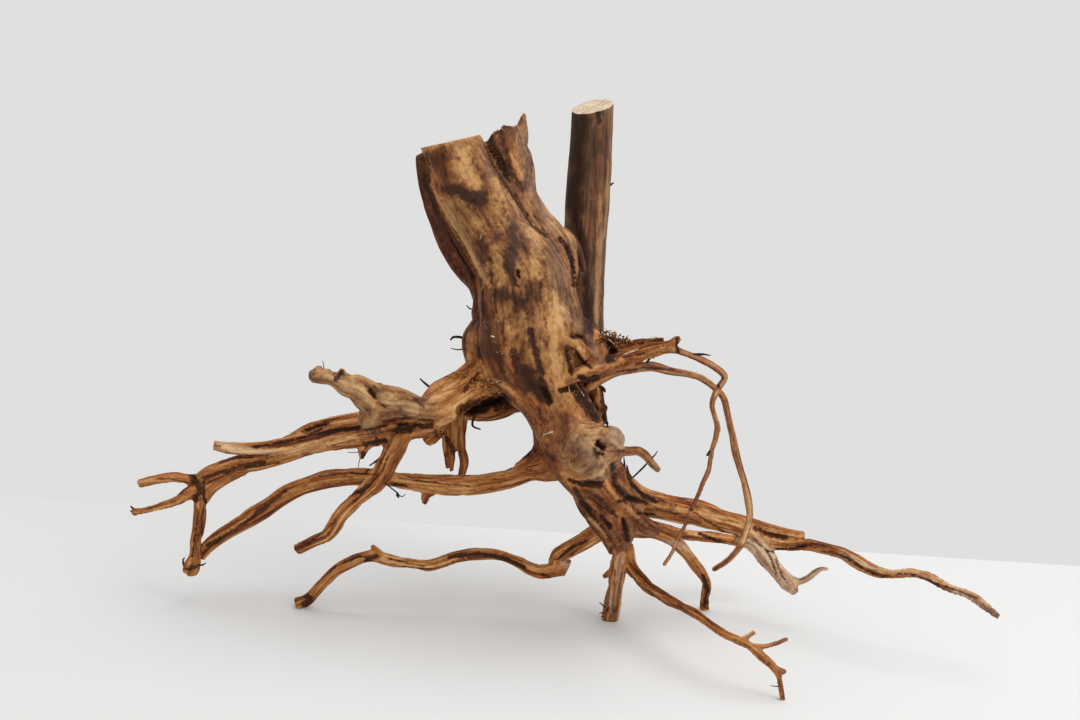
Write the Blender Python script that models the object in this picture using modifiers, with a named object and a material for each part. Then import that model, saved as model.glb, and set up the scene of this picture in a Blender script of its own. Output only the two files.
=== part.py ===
"""A dry tree root: sawn stems, a swollen crown and spreading roots, grown as one piece of wood.

The origin is the middle of the tap root's flat foot on the floor. +X runs to the right along
the root's greatest length, +Y away from its front, and +Z up.
"""

import math

import bmesh
import bpy
import numpy as np

MM = 0.001

# Where the front view is taken from, in millimetres. Each station of a route is read as
# millimetres across and up on the upright plane through the origin. It is then drawn along
# its sight line toward this eye, by its third number, the distance in front of that plane.
# The fourth number is the thickness as read on the plane.
EYE = np.array([-47.0, -776.0, 274.0])

# Spacing of the rings along a route, and the number of points round a ring.
RING_STEP = 2.0
TRUNK_POINTS = 32
ROOT_POINTS = 14

# Share by which the thickness wanders along a route.
TRUNK_GNARL = 0.01
ROOT_GNARL = 0.045

# Thinnest root that is modelled.
LEAST_THICKNESS = 2.4

# The fused skin: grid size, smoothing and share of faces kept.
SKIN_GRID = 1.1 * MM
SKIN_SMOOTHING = 2
FACES_KEPT = 0.039

WOOD_COLOR = (0.36, 0.19, 0.09, 1.0)

FRONT_STEM = [
    (-106, 264, 0, 30),
    (-100, 250, 1, 30.5),
    (-95, 240, 2, 32),
    (-91.5, 232, 4, 34),
    (-86.5, 224, 6, 35),
    (-77, 210, 9, 35),
    (-70, 200, 11, 36),
    (-62, 190, 13, 42),
    (-57.5, 180, 15, 48),
    (-56, 170, 17, 52),
    (-54, 160, 18, 55),
    (-52.5, 150, 20, 57),
    (-50.5, 140, 22, 54),
    (-46, 130, 25, 45),
    (-40, 120, 28, 36),
    (-33.5, 110, 30, 35),
    (-27.5, 100, 31, 35.5),
    (-22, 90, 31, 36),
    (-14.5, 80, 30, 32),
    (-4.2, 70, 27, 27.5),
    (-0.8, 60, 23, 28.5),
    (1, 50, 20, 20),
    (3, 43, 18, 12),
]

HOLLOW_LIP = [
    (-108.5, 243, -16, 17),
    (-106.5, 233, -16, 19),
    (-104.3, 225, -16, 19.5),
    (-100, 213, -15, 20),
    (-94.3, 201, -14, 20.4),
    (-88.4, 190.4, -12, 19.2),
    (-79, 180, -8, 18.4),
    (-75, 171, -4, 18.8),
    (-73.2, 160, 2, 21.5),
    (-70, 148, 8, 18),
]

BROKEN_STEM = [
    (-67.5, 257.4, -12, 12),
    (-69.6, 252.6, -12, 19),
    (-70.5, 246, -12, 22.5),
    (-68.5, 240, -12, 22.5),
    (-66.5, 230, -11, 22),
    (-64, 221, -9, 21.5),
    (-57.2, 210, -7, 23.6),
    (-49.8, 200, -4, 27.4),
    (-45, 190, 0, 29.6),
    (-44, 178, 6, 26),
]

BROKEN_SPIKE = [
    (-65, 245, -13, 9),
    (-64, 256, -14, 7.6),
    (-63.6, 262, -14, 4.6),
    (-63, 266.4, -14, 2.4),
]

STRAIGHT_STEM = [
    (-28.5, 282, -46, 20.8),
    (-28.4, 276, -45, 20.8),
    (-27.8, 250, -43, 22.2),
    (-27.7, 225, -41, 22.6),
    (-27.4, 200, -38, 22.2),
    (-26.6, 175, -34, 21.2),
    (-25.5, 155, -29, 22),
    (-25.4, 138, -22, 23),
    (-25.5, 120, -12, 23.5),
    (-23.5, 106, 0, 24),
    (-20, 92, 10, 22),
]

PRUNED_STUB = [
    (-52, 188, -4, 26),
    (-45, 192, -6, 22),
    (-39, 195, -8, 18),
    (-35, 196.5, -10, 14),
]

STUB_RIM = [
    (-43, 209.6, -8, 2.6),
    (-38.4, 208, -8, 3.2),
    (-34.2, 204.6, -8, 3.6),
    (-31.2, 199.6, -8, 3.6),
    (-29.2, 193.6, -8, 3.4),
    (-27.6, 187.6, -8, 3),
]

BACK_RIB = [
    (-86, 248, -14, 16),
    (-81, 236, -15, 22),
    (-74, 222, -15, 26),
    (-65, 205, -12, 32),
    (-59, 190, -8, 36),
    (-57, 172, 0, 38),
]

LEFT_SWELLING = [
    (-74, 160, 6, 16),
    (-74.5, 149, 10, 27),
    (-74, 139, 13, 26),
    (-72, 128, 16, 20),
]

RIGHT_SWELLING = [
    (-31, 160, 14, 12),
    (-25, 152, 18, 17),
    (-21, 143, 20, 18),
    (-23, 132, 20, 15),
]

SHOULDER = [
    (-60, 140, 16, 34),
    (-74, 130.5, 20, 26),
    (-83.4, 122.6, 24, 20.6),
    (-91.4, 116.6, 27, 22),
    (-98, 112, 29, 22),
    (-106, 105.5, 30, 17),
    (-115, 102.5, 30, 14),
]

CROWN_WEB = [
    (-44, 112, 26, 12),
    (-42.6, 102, 26, 12),
    (-42, 93, 25, 11),
    (-47, 86, 23, 9),
    (-55, 80, 21, 7),
]

ROOT_COLLAR = [
    (-35, 128, 38, 6),
    (-28, 132, 34, 9),
    (-19.5, 136, 28, 10.5),
    (-10, 139.5, 21, 10),
    (0, 143.3, 15, 9),
]

SWIRL_FOLD = [
    (-36, 153.5, 36, 5),
    (-31, 150.5, 35, 7),
    (-26, 146.5, 32, 7.5),
    (-21, 141.5, 28, 6.5),
]

CROWN_RIDGE_LEFT = [
    (-25, 78, 30, 9),
    (-21, 70, 30, 9.5),
    (-16.5, 61.5, 28, 9.5),
    (-11, 54, 26, 9),
    (-5, 47, 23, 8),
    (0, 38, 19, 7),
]

CROWN_RIDGE_MIDDLE = [
    (-11, 81, 42, 5),
    (-6, 72, 38, 6),
    (1, 64.5, 35, 6.5),
    (8, 58.5, 30, 7.5),
    (14, 54, 23, 8.5),
    (20, 51.5, 12, 8.5),
]

CROWN_RIDGE_RIGHT = [
    (-2, 84, 36, 6),
    (3, 76, 32, 7),
    (9, 69.5, 26, 8),
    (18, 66, 17, 8),
    (28, 64.5, 10, 8),
]

NEAR_BRANCH = [
    (-98, 111, 32, 15),
    (-108, 109.8, 40, 13.2),
    (-119.5, 111.6, 48, 17),
    (-129.5, 111.6, 55, 19),
    (-136.3, 114, 59, 15.6),
    (-142.4, 117.9, 61, 12.5),
    (-148.3, 119, 63, 10.5),
    (-155.8, 122.4, 65, 8),
    (-163, 123.4, 66, 8.3),
    (-167, 122.6, 66, 6.5),
]

NEAR_BRANCH_BUMP = [
    (-149, 121, 63, 6),
    (-151, 127.5, 64, 2.6),
]

NEAR_BRANCH_ROOT = [
    (-133, 110, 54, 14),
    (-135, 103, 46, 12),
    (-133, 97, 36, 10),
]

SAWN_BRANCH = [
    (-108, 105, 30, 15),
    (-125, 101.5, 33, 12),
    (-140, 97, 32, 11),
    (-155, 93, 31, 10.5),
    (-170, 87.5, 30, 9.5),
    (-185, 83, 29, 8.5),
    (-200, 81, 28, 7.6),
    (-208, 81.2, 27, 6.6),
    (-219, 82.8, 26, 6),
]

UPPER_STRAND = [
    (-120, 104, 28, 10),
    (-138, 102, 26, 8),
    (-151, 98.5, 24, 7.5),
    (-163, 95, 22, 8.5),
    (-177, 88, 21, 6),
    (-190, 80, 20, 6),
    (-203, 74.5, 19, 7),
]

LEFT_ROOT = [
    (-104, 104, 26, 13),
    (-118, 98.5, 26, 12),
    (-134, 93.3, 25, 11.2),
    (-150, 89.4, 24, 9),
    (-166, 84.2, 22, 8.5),
    (-181.3, 78, 21, 8),
    (-192, 74.3, 20, 8),
    (-203.5, 72.6, 19, 10.4),
    (-214.5, 67.9, 18, 11.4),
    (-222, 62.5, 18, 12),
    (-224, 57, 18, 9.5),
    (-223.4, 50.2, 18, 6.9),
    (-224, 36.3, 18, 5.7),
    (-225.2, 28.4, 18, 5.7),
    (-225.5, 20.6, 19, 6),
    (-227.3, 14, 19, 8.4),
    (-228.5, 10.4, 19, 7.2),
]

LEFT_ROOT_WEB = [
    (-200, 70, 19, 6),
    (-209.6, 66, 18, 8),
    (-217, 60, 18, 8),
    (-222, 51.6, 18, 6),
]

LEFT_ROOT_THORN = [
    (-136, 89, 25, 8),
    (-137.8, 84.5, 25, 5.4),
    (-138.4, 80, 25, 2.2),
]

LEFT_UPPER_FORK = [
    (-222, 62, 18, 9),
    (-231, 63, 18, 6.2),
    (-239, 63.3, 17, 6.2),
    (-248, 61.4, 16, 5.4),
    (-256.5, 58.6, 15, 4.6),
]

LEFT_LOWER_FORK = [
    (-224, 58, 18, 9),
    (-231, 54.4, 19, 6.6),
    (-236.5, 50.3, 20, 5),
    (-244, 47.4, 20, 4.2),
    (-252.9, 44, 21, 3.9),
    (-259.5, 42.6, 21, 4.6),
]

DROPPING_BRANCH = [
    (-98, 103, 22, 12),
    (-107, 99.5, 25, 13),
    (-115.8, 96, 27, 12.6),
    (-120, 88.5, 28, 11.8),
    (-124.2, 80, 28, 11),
    (-127.7, 71.4, 28, 10),
    (-133.4, 63.9, 28, 9),
    (-141.6, 56.2, 29, 8.4),
    (-148, 48.6, 30, 8),
    (-151.4, 42, 30, 8),
    (-155.4, 36.6, 30, 7.2),
    (-162, 33.1, 31, 5.6),
    (-171, 27.6, 31, 5.2),
]

LONG_LEFT_ROOT = [
    (-28, 86, 28, 18),
    (-39, 82, 26, 14),
    (-47, 80, 24, 11.5),
    (-55, 76.4, 22, 10.2),
    (-64, 73.3, 20, 10),
    (-79, 70, 17, 9.6),
    (-94, 68.8, 14, 9.8),
    (-109, 69.2, 12, 8.8),
    (-120, 70, 11, 8.7),
    (-131, 70.5, 10, 8.6),
    (-143, 70, 10, 8.6),
    (-155, 68, 9, 9.3),
    (-166, 64, 8, 9.3),
    (-177, 58.5, 8, 9.6),
    (-188, 50, 8, 9.5),
    (-199, 42, 8, 9),
    (-207, 36.3, 8, 8.5),
    (-214, 31, 8, 8),
    (-220, 25.5, 8, 7.5),
    (-223, 20, 8, 6),
]

LONG_LEFT_STUB = [
    (-98, 67, 12, 7),
    (-103, 63, 12, 5.5),
    (-103.8, 58, 12, 3.6),
]

HOLLOW_ROOT = [
    (-46, 122, -6, 26),
    (-53, 120.5, -14, 20),
    (-60, 118.5, -20, 16),
    (-67, 115.5, -22, 16),
    (-75, 112.5, -22, 16),
    (-82, 111.5, -20, 14),
    (-89, 110.8, -14, 11.5),
    (-98, 110, -4, 11),
    (-104, 107, 10, 10),
]

HANGING_ROOT_RIGHT = [
    (-87, 108, -12, 8),
    (-86.6, 100, -10, 6),
    (-85.4, 89.4, -8, 4.8),
    (-83.6, 81.9, -7, 4.6),
    (-84.8, 73.5, -7, 3.6),
]

HANGING_ROOT_LEFT = [
    (-95, 107, -4, 9),
    (-93.8, 97, -3, 6.4),
    (-93.7, 87.6, -3, 3.8),
    (-92.4, 78, -3, 2.8),
]

HANGING_ROOT_MIDDLE = [
    (-90.8, 109, -9, 7),
    (-90.4, 103, -6, 5.4),
    (-89.8, 96, -5, 4),
    (-89.8, 86, -5, 3),
    (-90.4, 76.5, -5, 2.4),
]

HANGING_STUB = [
    (-96, 104, 4, 9.4),
    (-100, 96.5, 4, 9),
    (-104.5, 92, 4, 6.6),
]

FRONT_KNOB = [
    (-27, 98, 34, 30),
    (-20, 95, 52, 24),
    (-15.5, 92, 70, 27),
    (-14, 91, 84, 28),
    (-13, 90.5, 94, 20),
]

KNOB_EAR = [
    (-15, 97, 62, 16),
    (-7, 100, 66, 13),
    (-4, 97, 70, 10),
]

KNOB_HOOK = [
    (-9, 93.4, 80, 11),
    (-3, 93.4, 83, 7.6),
    (3.5, 93.6, 84, 5.6),
    (7.8, 94.2, 85, 5.2),
    (12.6, 91.6, 86, 4.8),
    (16.4, 87.2, 87, 4.2),
    (20, 84.2, 88, 3.4),
]

UPPER_RIGHT_ROOT = [
    (-25, 132, 16, 18),
    (-16, 136, 14, 12),
    (-6.5, 140.7, 12, 9),
    (0, 144, 12, 9.5),
    (10.4, 148.3, 13, 8),
    (17.3, 150.6, 14, 6.6),
    (21.2, 152.2, 15, 5.6),
    (24.8, 156.4, 15, 3.8),
]

DEAD_STRIP = [
    (-17, 149, 2, 12),
    (-9, 149.6, 5, 9.6),
    (-1, 150.2, 7, 6),
    (5, 152, 8, 4.5),
    (17, 154.6, 9, 3.2),
]

OUTER_THIN_ROOT = [
    (19, 150, 14, 5),
    (24, 149.4, 15, 4),
    (31.4, 147.4, 17, 3.5),
    (38.5, 144.9, 18, 3.9),
    (44.4, 142, 19, 4.1),
    (48.8, 139.1, 20, 3.9),
    (50.5, 136.5, 20, 3.5),
    (48.3, 132.2, 20, 3.5),
    (46, 127.1, 20, 3.4),
    (45, 121.3, 20, 3),
    (46.9, 115.6, 20, 2.9),
    (48.8, 110, 20, 3.2),
    (48.4, 103.4, 20, 3.2),
    (47, 97.6, 20, 3),
    (46.6, 91.8, 20, 2.7),
    (46, 85.9, 20, 2.8),
    (43.7, 79, 20, 2.6),
    (42, 73.1, 20, 2.5),
    (37.6, 60.4, 20, 2.4),
    (35.7, 54.3, 20, 2.4),
    (32.4, 45.9, 20, 2.2),
    (29.8, 38.3, 20, 2),
    (26.4, 32.2, 20, 1.8),
]

INNER_THIN_ROOT = [
    (-22, 129, 14, 9),
    (-13, 133.5, 11, 7),
    (-6.4, 136.1, 9, 5.4),
    (0.6, 137.6, 8, 5.2),
    (11, 140, 8, 5.6),
    (21.5, 138.2, 8, 4.3),
    (30, 137.4, 9, 3.7),
    (36.4, 136.1, 10, 3.5),
    (41.5, 133.6, 11, 3.6),
    (46.8, 129.9, 12, 3.8),
    (50.2, 126.6, 13, 3.9),
    (51.9, 123.1, 13, 3.9),
    (53.5, 117.5, 13, 3.6),
    (55.4, 111.1, 14, 3.6),
    (57.2, 105.5, 14, 3.9),
    (59.3, 97.5, 14, 4.3),
    (62.4, 89, 15, 3.9),
    (65.2, 82, 15, 3.8),
    (67.5, 74.8, 15, 3.9),
    (69, 69, 15, 4.2),
    (70, 63.3, 15, 3.9),
    (69.7, 58.1, 15, 3.6),
    (68.4, 52.8, 15, 3.6),
    (66.7, 46.7, 16, 3.6),
    (63.6, 41.3, 16, 3.4),
    (59.7, 36.6, 16, 3.2),
    (53, 31.4, 16, 2.8),
]

SHORT_RIGHT_ROOT = [
    (-20, 134, 4, 10),
    (-16.5, 126, 0, 7),
    (-13.5, 117, -1, 6),
    (-10.5, 108, 0, 4),
]

LONG_RIGHT_ROOT = [
    (-15, 92, 28, 18),
    (-6, 81, 24, 15),
    (3.5, 71.4, 17, 14.6),
    (14.5, 65.8, 9, 14.4),
    (29.6, 64, 2, 14.2),
    (42, 62.2, -1, 14),
    (53, 59.2, -3, 12.3),
    (64, 56.5, -4, 11),
    (75, 51, -4, 9),
    (84, 48.4, -1, 6.6),
    (93, 47.6, 2, 5.6),
    (101, 48.8, 5, 6.4),
    (109.5, 47.5, 9, 6.7),
    (120.4, 45.3, 13, 7.2),
    (128.5, 41.7, 20, 7.6),
    (134.6, 38.7, 26, 7.4),
    (142.5, 36, 31, 6.2),
    (150.3, 35.6, 34, 5.3),
    (158.8, 36.9, 36, 5.5),
    (167.7, 35.6, 37, 5.6),
    (173.8, 32.6, 38, 5.9),
    (182.1, 29.3, 40, 5.1),
    (189.2, 27.6, 42, 4.9),
    (195.3, 24.9, 44, 4.9),
    (201.9, 20.3, 46, 4),
    (209.2, 15.4, 47, 2.4),
]

SAWN_STRAND = [
    (55, 60.5, -4, 9),
    (64, 59, -6, 8),
    (74, 57, -6, 7),
    (86, 54.6, -3, 6.2),
    (104, 53.2, 2, 5.8),
]

SPLIT_ROOT = [
    (66, 53, -4, 10),
    (76, 46.6, -2, 10.6),
    (81, 40.3, 0, 10.4),
    (86.5, 34, 2, 8.6),
    (93.6, 27, 4, 9),
    (98.5, 21.5, 5, 4.6),
]

SPLIT_ROOT_HOOK = [
    (93, 29.5, 4, 6),
    (99.7, 28, 4, 3.9),
    (104.3, 30.3, 5, 3.6),
    (107.9, 33.8, 5, 3.4),
    (111, 36, 5, 2.8),
    (114.5, 35.8, 5, 2.4),
]

BACK_RIGHT_ROOT = [
    (4, 56, 8, 12),
    (16, 52.5, -15, 9),
    (27, 50.6, -34, 8),
    (39, 49.8, -48, 6.5),
    (50, 49.7, -52, 6),
    (60, 48.9, -53, 5.8),
    (69, 47, -53, 5),
    (75, 45.8, -52, 3.4),
]

RIGHT_PROP_ROOT = [
    (2, 54, 14, 14),
    (10.8, 52, 4, 10.6),
    (18.7, 51.4, -1, 9.8),
    (25.1, 49.4, -5, 9.2),
    (31.4, 46.4, -8, 7.2),
    (36.3, 41.7, -12, 6.2),
    (41.7, 35.6, -16, 5.7),
    (47, 29.6, -20, 5.5),
    (49.9, 24.4, -23, 5),
    (50.4, 20.5, -25, 5),
    (50, 15.4, -26, 4.8),
    (50.7, 6, -27, 4.6),
]

FRONT_PROP_ROOT = [
    (4, 42, 12, 10),
    (7.4, 33, 10, 8.4),
    (12, 26.3, 16, 7.5),
    (20.2, 19.2, 30, 6.7),
    (28.8, 14, 45, 6),
    (37.1, 10.2, 59, 5.5),
    (46, 6, 71, 5.9),
    (56.5, -0.7, 82, 5.3),
    (63.4, -4.8, 88, 5.1),
    (70.8, -7.3, 92, 5.3),
    (76.8, -10.3, 94, 5.2),
    (83.7, -15.8, 96, 5.2),
    (89.8, -20.8, 97, 5),
    (93.5, -25.9, 97, 4.1),
    (95.4, -32.5, 97, 3.6),
    (97.6, -41, 97, 3.4),
]

FRONT_PROP_TWIG = [
    (77, -10, 94, 3.8),
    (81, -10, 94, 2.9),
    (85.4, -9.5, 94, 2.8),
    (90.3, -7.7, 94, 2.8),
    (93.9, -5.9, 94, 2.6),
    (96.6, -4.4, 94, 2.2),
]

FRONT_PROP_SPUR = [
    (72, -6.5, 93, 3.2),
    (75.5, -4, 93, 2.4),
    (78.4, -1.7, 93, 1.8),
]

FRONT_PROP_THORN = [
    (91.5, -22, 97, 4),
    (97.3, -23.5, 97, 1.6),
]

TAP_ROOT = [
    (-2, 60, 24, 24),
    (1.5, 50, 21, 13.5),
    (3, 42, 18, 8.6),
    (2.2, 33.6, 13, 8.8),
    (1.6, 21, 7, 8.5),
    (0.8, 9, 2, 9.2),
    (0, 0, 0, 9.2),
    (-0.4, -6, 0, 9.2),
]

TAP_ROOT_THORN = [
    (-1, 27, 10, 5),
    (-5.5, 23.4, 10, 2),
]

LEFT_PROP_START = [
    (-4, 55, 20, 16),
    (-8.5, 49.5, 16, 11),
    (-16.1, 43.7, 12, 10),
    (-23.5, 38.5, 8, 10),
    (-29, 34.8, 6, 8.6),
    (-31.5, 30, 5, 7),
    (-31.5, 27.5, 5, 6),
]

LEFT_PROP_ROOT = [
    (-19, 28.2, 5, 7.4),
    (-25, 27.6, 5, 7.6),
    (-30.7, 26.3, 5, 7.6),
    (-38.4, 24.4, 5, 8.2),
    (-44.8, 25.6, 5, 7.3),
    (-51.7, 29, 6, 6.4),
    (-63.2, 32.2, 6, 6),
    (-74.3, 31.8, 7, 6.1),
    (-85.4, 29.3, 7, 6.3),
    (-91, 26.8, 8, 6.6),
    (-99.6, 23.8, 8, 6.6),
    (-107.4, 24.1, 9, 5.8),
    (-119.7, 25, 9, 5.9),
    (-128.7, 27.1, 10, 6.2),
    (-135.3, 25.8, 10, 6.2),
    (-143, 21.9, 11, 6.3),
    (-150.1, 16.9, 11, 6.2),
    (-157.2, 8.4, 12, 6),
    (-163.6, 0.6, 12, 6.8),
    (-169.5, -3, 12, 7),
]

LEFT_PROP_THORN = [
    (-126, 28.5, 10, 4),
    (-130.6, 32.8, 10, 1.8),
]

BACK_STUB = [
    (-50, 138, 2, 24),
    (-48, 134, -24, 15),
    (-46, 130, -44, 12),
    (-45, 127, -56, 9),
]

LOWER_BACK_STUB = [
    (-10, 76, 10, 20),
    (-6, 75, -14, 12),
    (-4, 76, -34, 9),
    (-4, 79, -48, 6),
]

# Each route with its depth as a share of its thickness, and the number and height of its ridges.
TRUNK_ROUTES = [
    (FRONT_STEM, 0.9, 5, 0.035),
    (HOLLOW_LIP, 1.2, 3, 0.04),
    (BACK_RIB, 0.9, 3, 0.04),
    (BROKEN_STEM, 0.95, 4, 0.05),
    (STRAIGHT_STEM, 0.95, 3, 0.02),
    (LEFT_SWELLING, 1.1, 5, 0.05),
    (RIGHT_SWELLING, 1.1, 5, 0.06),
    (SHOULDER, 0.8, 6, 0.06),
    (CROWN_WEB, 0.9, 3, 0.04),
    (FRONT_KNOB, 1.0, 5, 0.05),
    (PRUNED_STUB, 1.0, 3, 0.01),
]

ROOT_ROUTES = [
    (BROKEN_SPIKE, 0.6, 3, 0.05),
    (NEAR_BRANCH, 0.75, 4, 0.08),
    (NEAR_BRANCH_BUMP, 1.0, 3, 0.05),
    (NEAR_BRANCH_ROOT, 1.1, 4, 0.08),
    (SAWN_BRANCH, 0.9, 4, 0.08),
    (UPPER_STRAND, 0.8, 4, 0.08),
    (LEFT_ROOT, 0.95, 4, 0.09),
    (LEFT_ROOT_WEB, 0.8, 3, 0.06),
    (LEFT_ROOT_THORN, 0.8, 3, 0.06),
    (LEFT_UPPER_FORK, 0.9, 3, 0.08),
    (LEFT_LOWER_FORK, 0.9, 3, 0.08),
    (DROPPING_BRANCH, 0.8, 4, 0.08),
    (LONG_LEFT_ROOT, 0.95, 4, 0.08),
    (LONG_LEFT_STUB, 0.9, 3, 0.06),
    (HOLLOW_ROOT, 0.7, 4, 0.07),
    (HANGING_ROOT_RIGHT, 0.9, 3, 0.08),
    (HANGING_ROOT_LEFT, 0.9, 3, 0.08),
    (HANGING_ROOT_MIDDLE, 0.9, 3, 0.06),
    (HANGING_STUB, 0.9, 4, 0.06),
    (KNOB_EAR, 1.0, 3, 0.05),
    (KNOB_HOOK, 1.0, 3, 0.06),
    (UPPER_RIGHT_ROOT, 0.85, 4, 0.09),
    (DEAD_STRIP, 0.8, 3, 0.08),
    (OUTER_THIN_ROOT, 1.0, 3, 0.06),
    (INNER_THIN_ROOT, 1.0, 3, 0.06),
    (SHORT_RIGHT_ROOT, 0.9, 3, 0.08),
    (LONG_RIGHT_ROOT, 0.85, 4, 0.08),
    (SAWN_STRAND, 0.9, 3, 0.06),
    (SPLIT_ROOT, 0.6, 4, 0.09),
    (SPLIT_ROOT_HOOK, 0.9, 3, 0.06),
    (BACK_RIGHT_ROOT, 0.95, 4, 0.08),
    (RIGHT_PROP_ROOT, 0.95, 4, 0.08),
    (FRONT_PROP_ROOT, 0.95, 4, 0.08),
    (FRONT_PROP_TWIG, 1.0, 3, 0.05),
    (FRONT_PROP_SPUR, 1.0, 3, 0.05),
    (FRONT_PROP_THORN, 1.0, 3, 0.05),
    (TAP_ROOT, 0.9, 5, 0.08),
    (TAP_ROOT_THORN, 1.0, 3, 0.05),
    (LEFT_PROP_START, 0.95, 4, 0.08),
    (LEFT_PROP_ROOT, 1.0, 4, 0.08),
    (LEFT_PROP_THORN, 1.0, 3, 0.05),
    (BACK_STUB, 0.9, 5, 0.07),
    (LOWER_BACK_STUB, 0.9, 4, 0.07),
    (STUB_RIM, 1.8, 3, 0.03),
    (ROOT_COLLAR, 0.9, 4, 0.08),
    (SWIRL_FOLD, 0.9, 4, 0.08),
    (CROWN_RIDGE_LEFT, 0.9, 4, 0.08),
    (CROWN_RIDGE_MIDDLE, 0.9, 4, 0.08),
    (CROWN_RIDGE_RIGHT, 0.9, 4, 0.08),
]

# Saw cuts: a point on the cut as read in the front view with its distance in front, the way
# that the cut face looks, and the half width and the depth of the block taken off.
SAW_CUTS = [
    ((-100, 250, 5), (-0.28, 0.0, 0.96), 26, 50),
    ((-28.7, 272.2, -45), (-0.24, -0.28, 0.93), 16, 40),
    ((-216.8, 82.4, 26), (-0.99, 0.0, 0.12), 6, 12),
    ((-24.4, 28.4, 5), (0.94, 0.0, -0.34), 8, 14),
    ((100.3, 53.2, 2), (0.99, 0.0, 0.1), 4, 8),
]

FLOOR_BLOCK = (400, 200, 30)


def clear_scene():
    for thing in list(bpy.data.objects):
        bpy.data.objects.remove(thing, do_unlink=True)


def new_collection(name):
    made = bpy.data.collections.new(name)
    bpy.context.scene.collection.children.link(made)
    return made


def placed(across, up, forward):
    """The point in millimetres, and the share by which its sight line is shortened."""
    share = (-EYE[1] - forward) / -EYE[1]
    return EYE + (np.array([across, 0.0, up]) - EYE) * share, share


def stations(route):
    """Centre and thickness at even steps along a smooth line through a route's points."""
    knots = []
    for across, up, forward, thickness in route:
        point, share = placed(across, up, forward)
        knots.append([*point, max(thickness * share, LEAST_THICKNESS)])
    knots = np.array(knots)
    ends = np.vstack([2 * knots[0] - knots[1], knots, 2 * knots[-1] - knots[-2]])
    rows = []
    for i in range(1, len(ends) - 2):
        a, b, c, d = ends[i - 1 : i + 3]
        count = max(2, round(np.linalg.norm(c[:3] - b[:3]) / RING_STEP))
        for t in np.arange(count) / count:
            bend = (2 * a - 5 * b + 4 * c - d) * t + (3 * b - a - 3 * c + d) * t * t
            rows.append(b + 0.5 * t * ((c - a) + bend))
    rows.append(ends[-2])
    rows = np.array(rows)
    return rows[:, :3], rows[:, 3]


def frames(centres):
    """Side and back directions across the line, kept steady from one station to the next."""
    along = np.gradient(centres, axis=0)
    along /= np.linalg.norm(along, axis=1, keepdims=True)
    back = np.array([0.0, 1.0, 0.0])
    if abs(along[0, 1]) > 0.8:
        back = np.array([0.0, 0.0, 1.0])
    sides, backs = [], []
    for step in along:
        side = np.cross(step, back)
        side /= np.linalg.norm(side)
        back = np.cross(side, step)
        sides.append(side)
        backs.append(back)
    return along, np.array(sides), np.array(backs)


def add_tube(shells, route, depth, ridges, height, points, gnarl, chance):
    """Adds one closed, ridged tube along a route, with a domed tip at both ends."""
    centres, thickness = stations(route)
    along, sides, backs = frames(centres)
    angles = np.linspace(0, 2 * math.pi, points, endpoint=False)
    phase = chance.uniform(0, 2 * math.pi, 3)
    length = np.arange(len(centres))[:, None] * RING_STEP
    wander = np.sin(length / 9 + phase[0]) + 0.6 * np.sin(length / 3.7 + phase[1])
    twist = length * 0.02
    swell = 1 + gnarl * wander + height * np.sin(ridges * angles + phase[2] + twist)
    swell += 0.5 * height * np.sin((ridges + 2) * angles - phase[0] - twist)
    radius = swell * thickness[:, None] / 2
    rings = centres[:, None] + sides[:, None] * (radius * np.cos(angles))[..., None]
    rings += backs[:, None] * (radius * depth * np.sin(angles))[..., None]
    first = len(shells["points"])
    shells["points"].extend(rings.reshape(-1, 3))
    for i in range(len(centres) - 1):
        low = first + i * points
        for j in range(points):
            k = (j + 1) % points
            shells["faces"].append((low + j, low + k, low + points + k, low + points + j))
    for end, outward in ((0, -1), (len(centres) - 1, 1)):
        tip = centres[end] + outward * along[end] * thickness[end] * 0.2
        shells["points"].append(tip)
        peak = len(shells["points"]) - 1
        ring = first + end * points
        for j in range(points):
            k = (j + 1) % points
            shells["faces"].append((ring + k, ring + j, peak) if outward < 0 else (ring + j, ring + k, peak))


def shell_mesh():
    """All the tubes as overlapping closed shells in one mesh."""
    chance = np.random.default_rng(7)
    shells = {"points": [], "faces": []}
    for route, depth, ridges, height in TRUNK_ROUTES:
        add_tube(shells, route, depth, ridges, height, TRUNK_POINTS, TRUNK_GNARL, chance)
    for route, depth, ridges, height in ROOT_ROUTES:
        add_tube(shells, route, depth, ridges, height, ROOT_POINTS, ROOT_GNARL, chance)
    mesh = bpy.data.meshes.new("dry_root")
    mesh.from_pydata((np.array(shells["points"]) * MM).tolist(), [], shells["faces"])
    shaped = bmesh.new()
    shaped.from_mesh(mesh)
    bmesh.ops.recalc_face_normals(shaped, faces=shaped.faces)
    shaped.to_mesh(mesh)
    shaped.free()
    return mesh


def block(shaped, centre, outward, half, depth):
    """Adds a square block whose near face lies on the cut and which reaches outward from it."""
    outward = np.array(outward) / np.linalg.norm(outward)
    side = np.cross(outward, [0.0, 1.0, 0.0])
    side /= np.linalg.norm(side)
    back = np.cross(outward, side)
    corners = []
    for reach in (0, depth):
        for s, t in ((-1, -1), (1, -1), (1, 1), (-1, 1)):
            spot = centre + reach * outward + half * (s * side + t * back)
            corners.append(shaped.verts.new(spot * MM))
    for ring in ((0, 1, 2, 3), (4, 5, 6, 7), (0, 1, 5, 4), (1, 2, 6, 5), (2, 3, 7, 6), (3, 0, 4, 7)):
        shaped.faces.new([corners[i] for i in ring])


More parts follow.
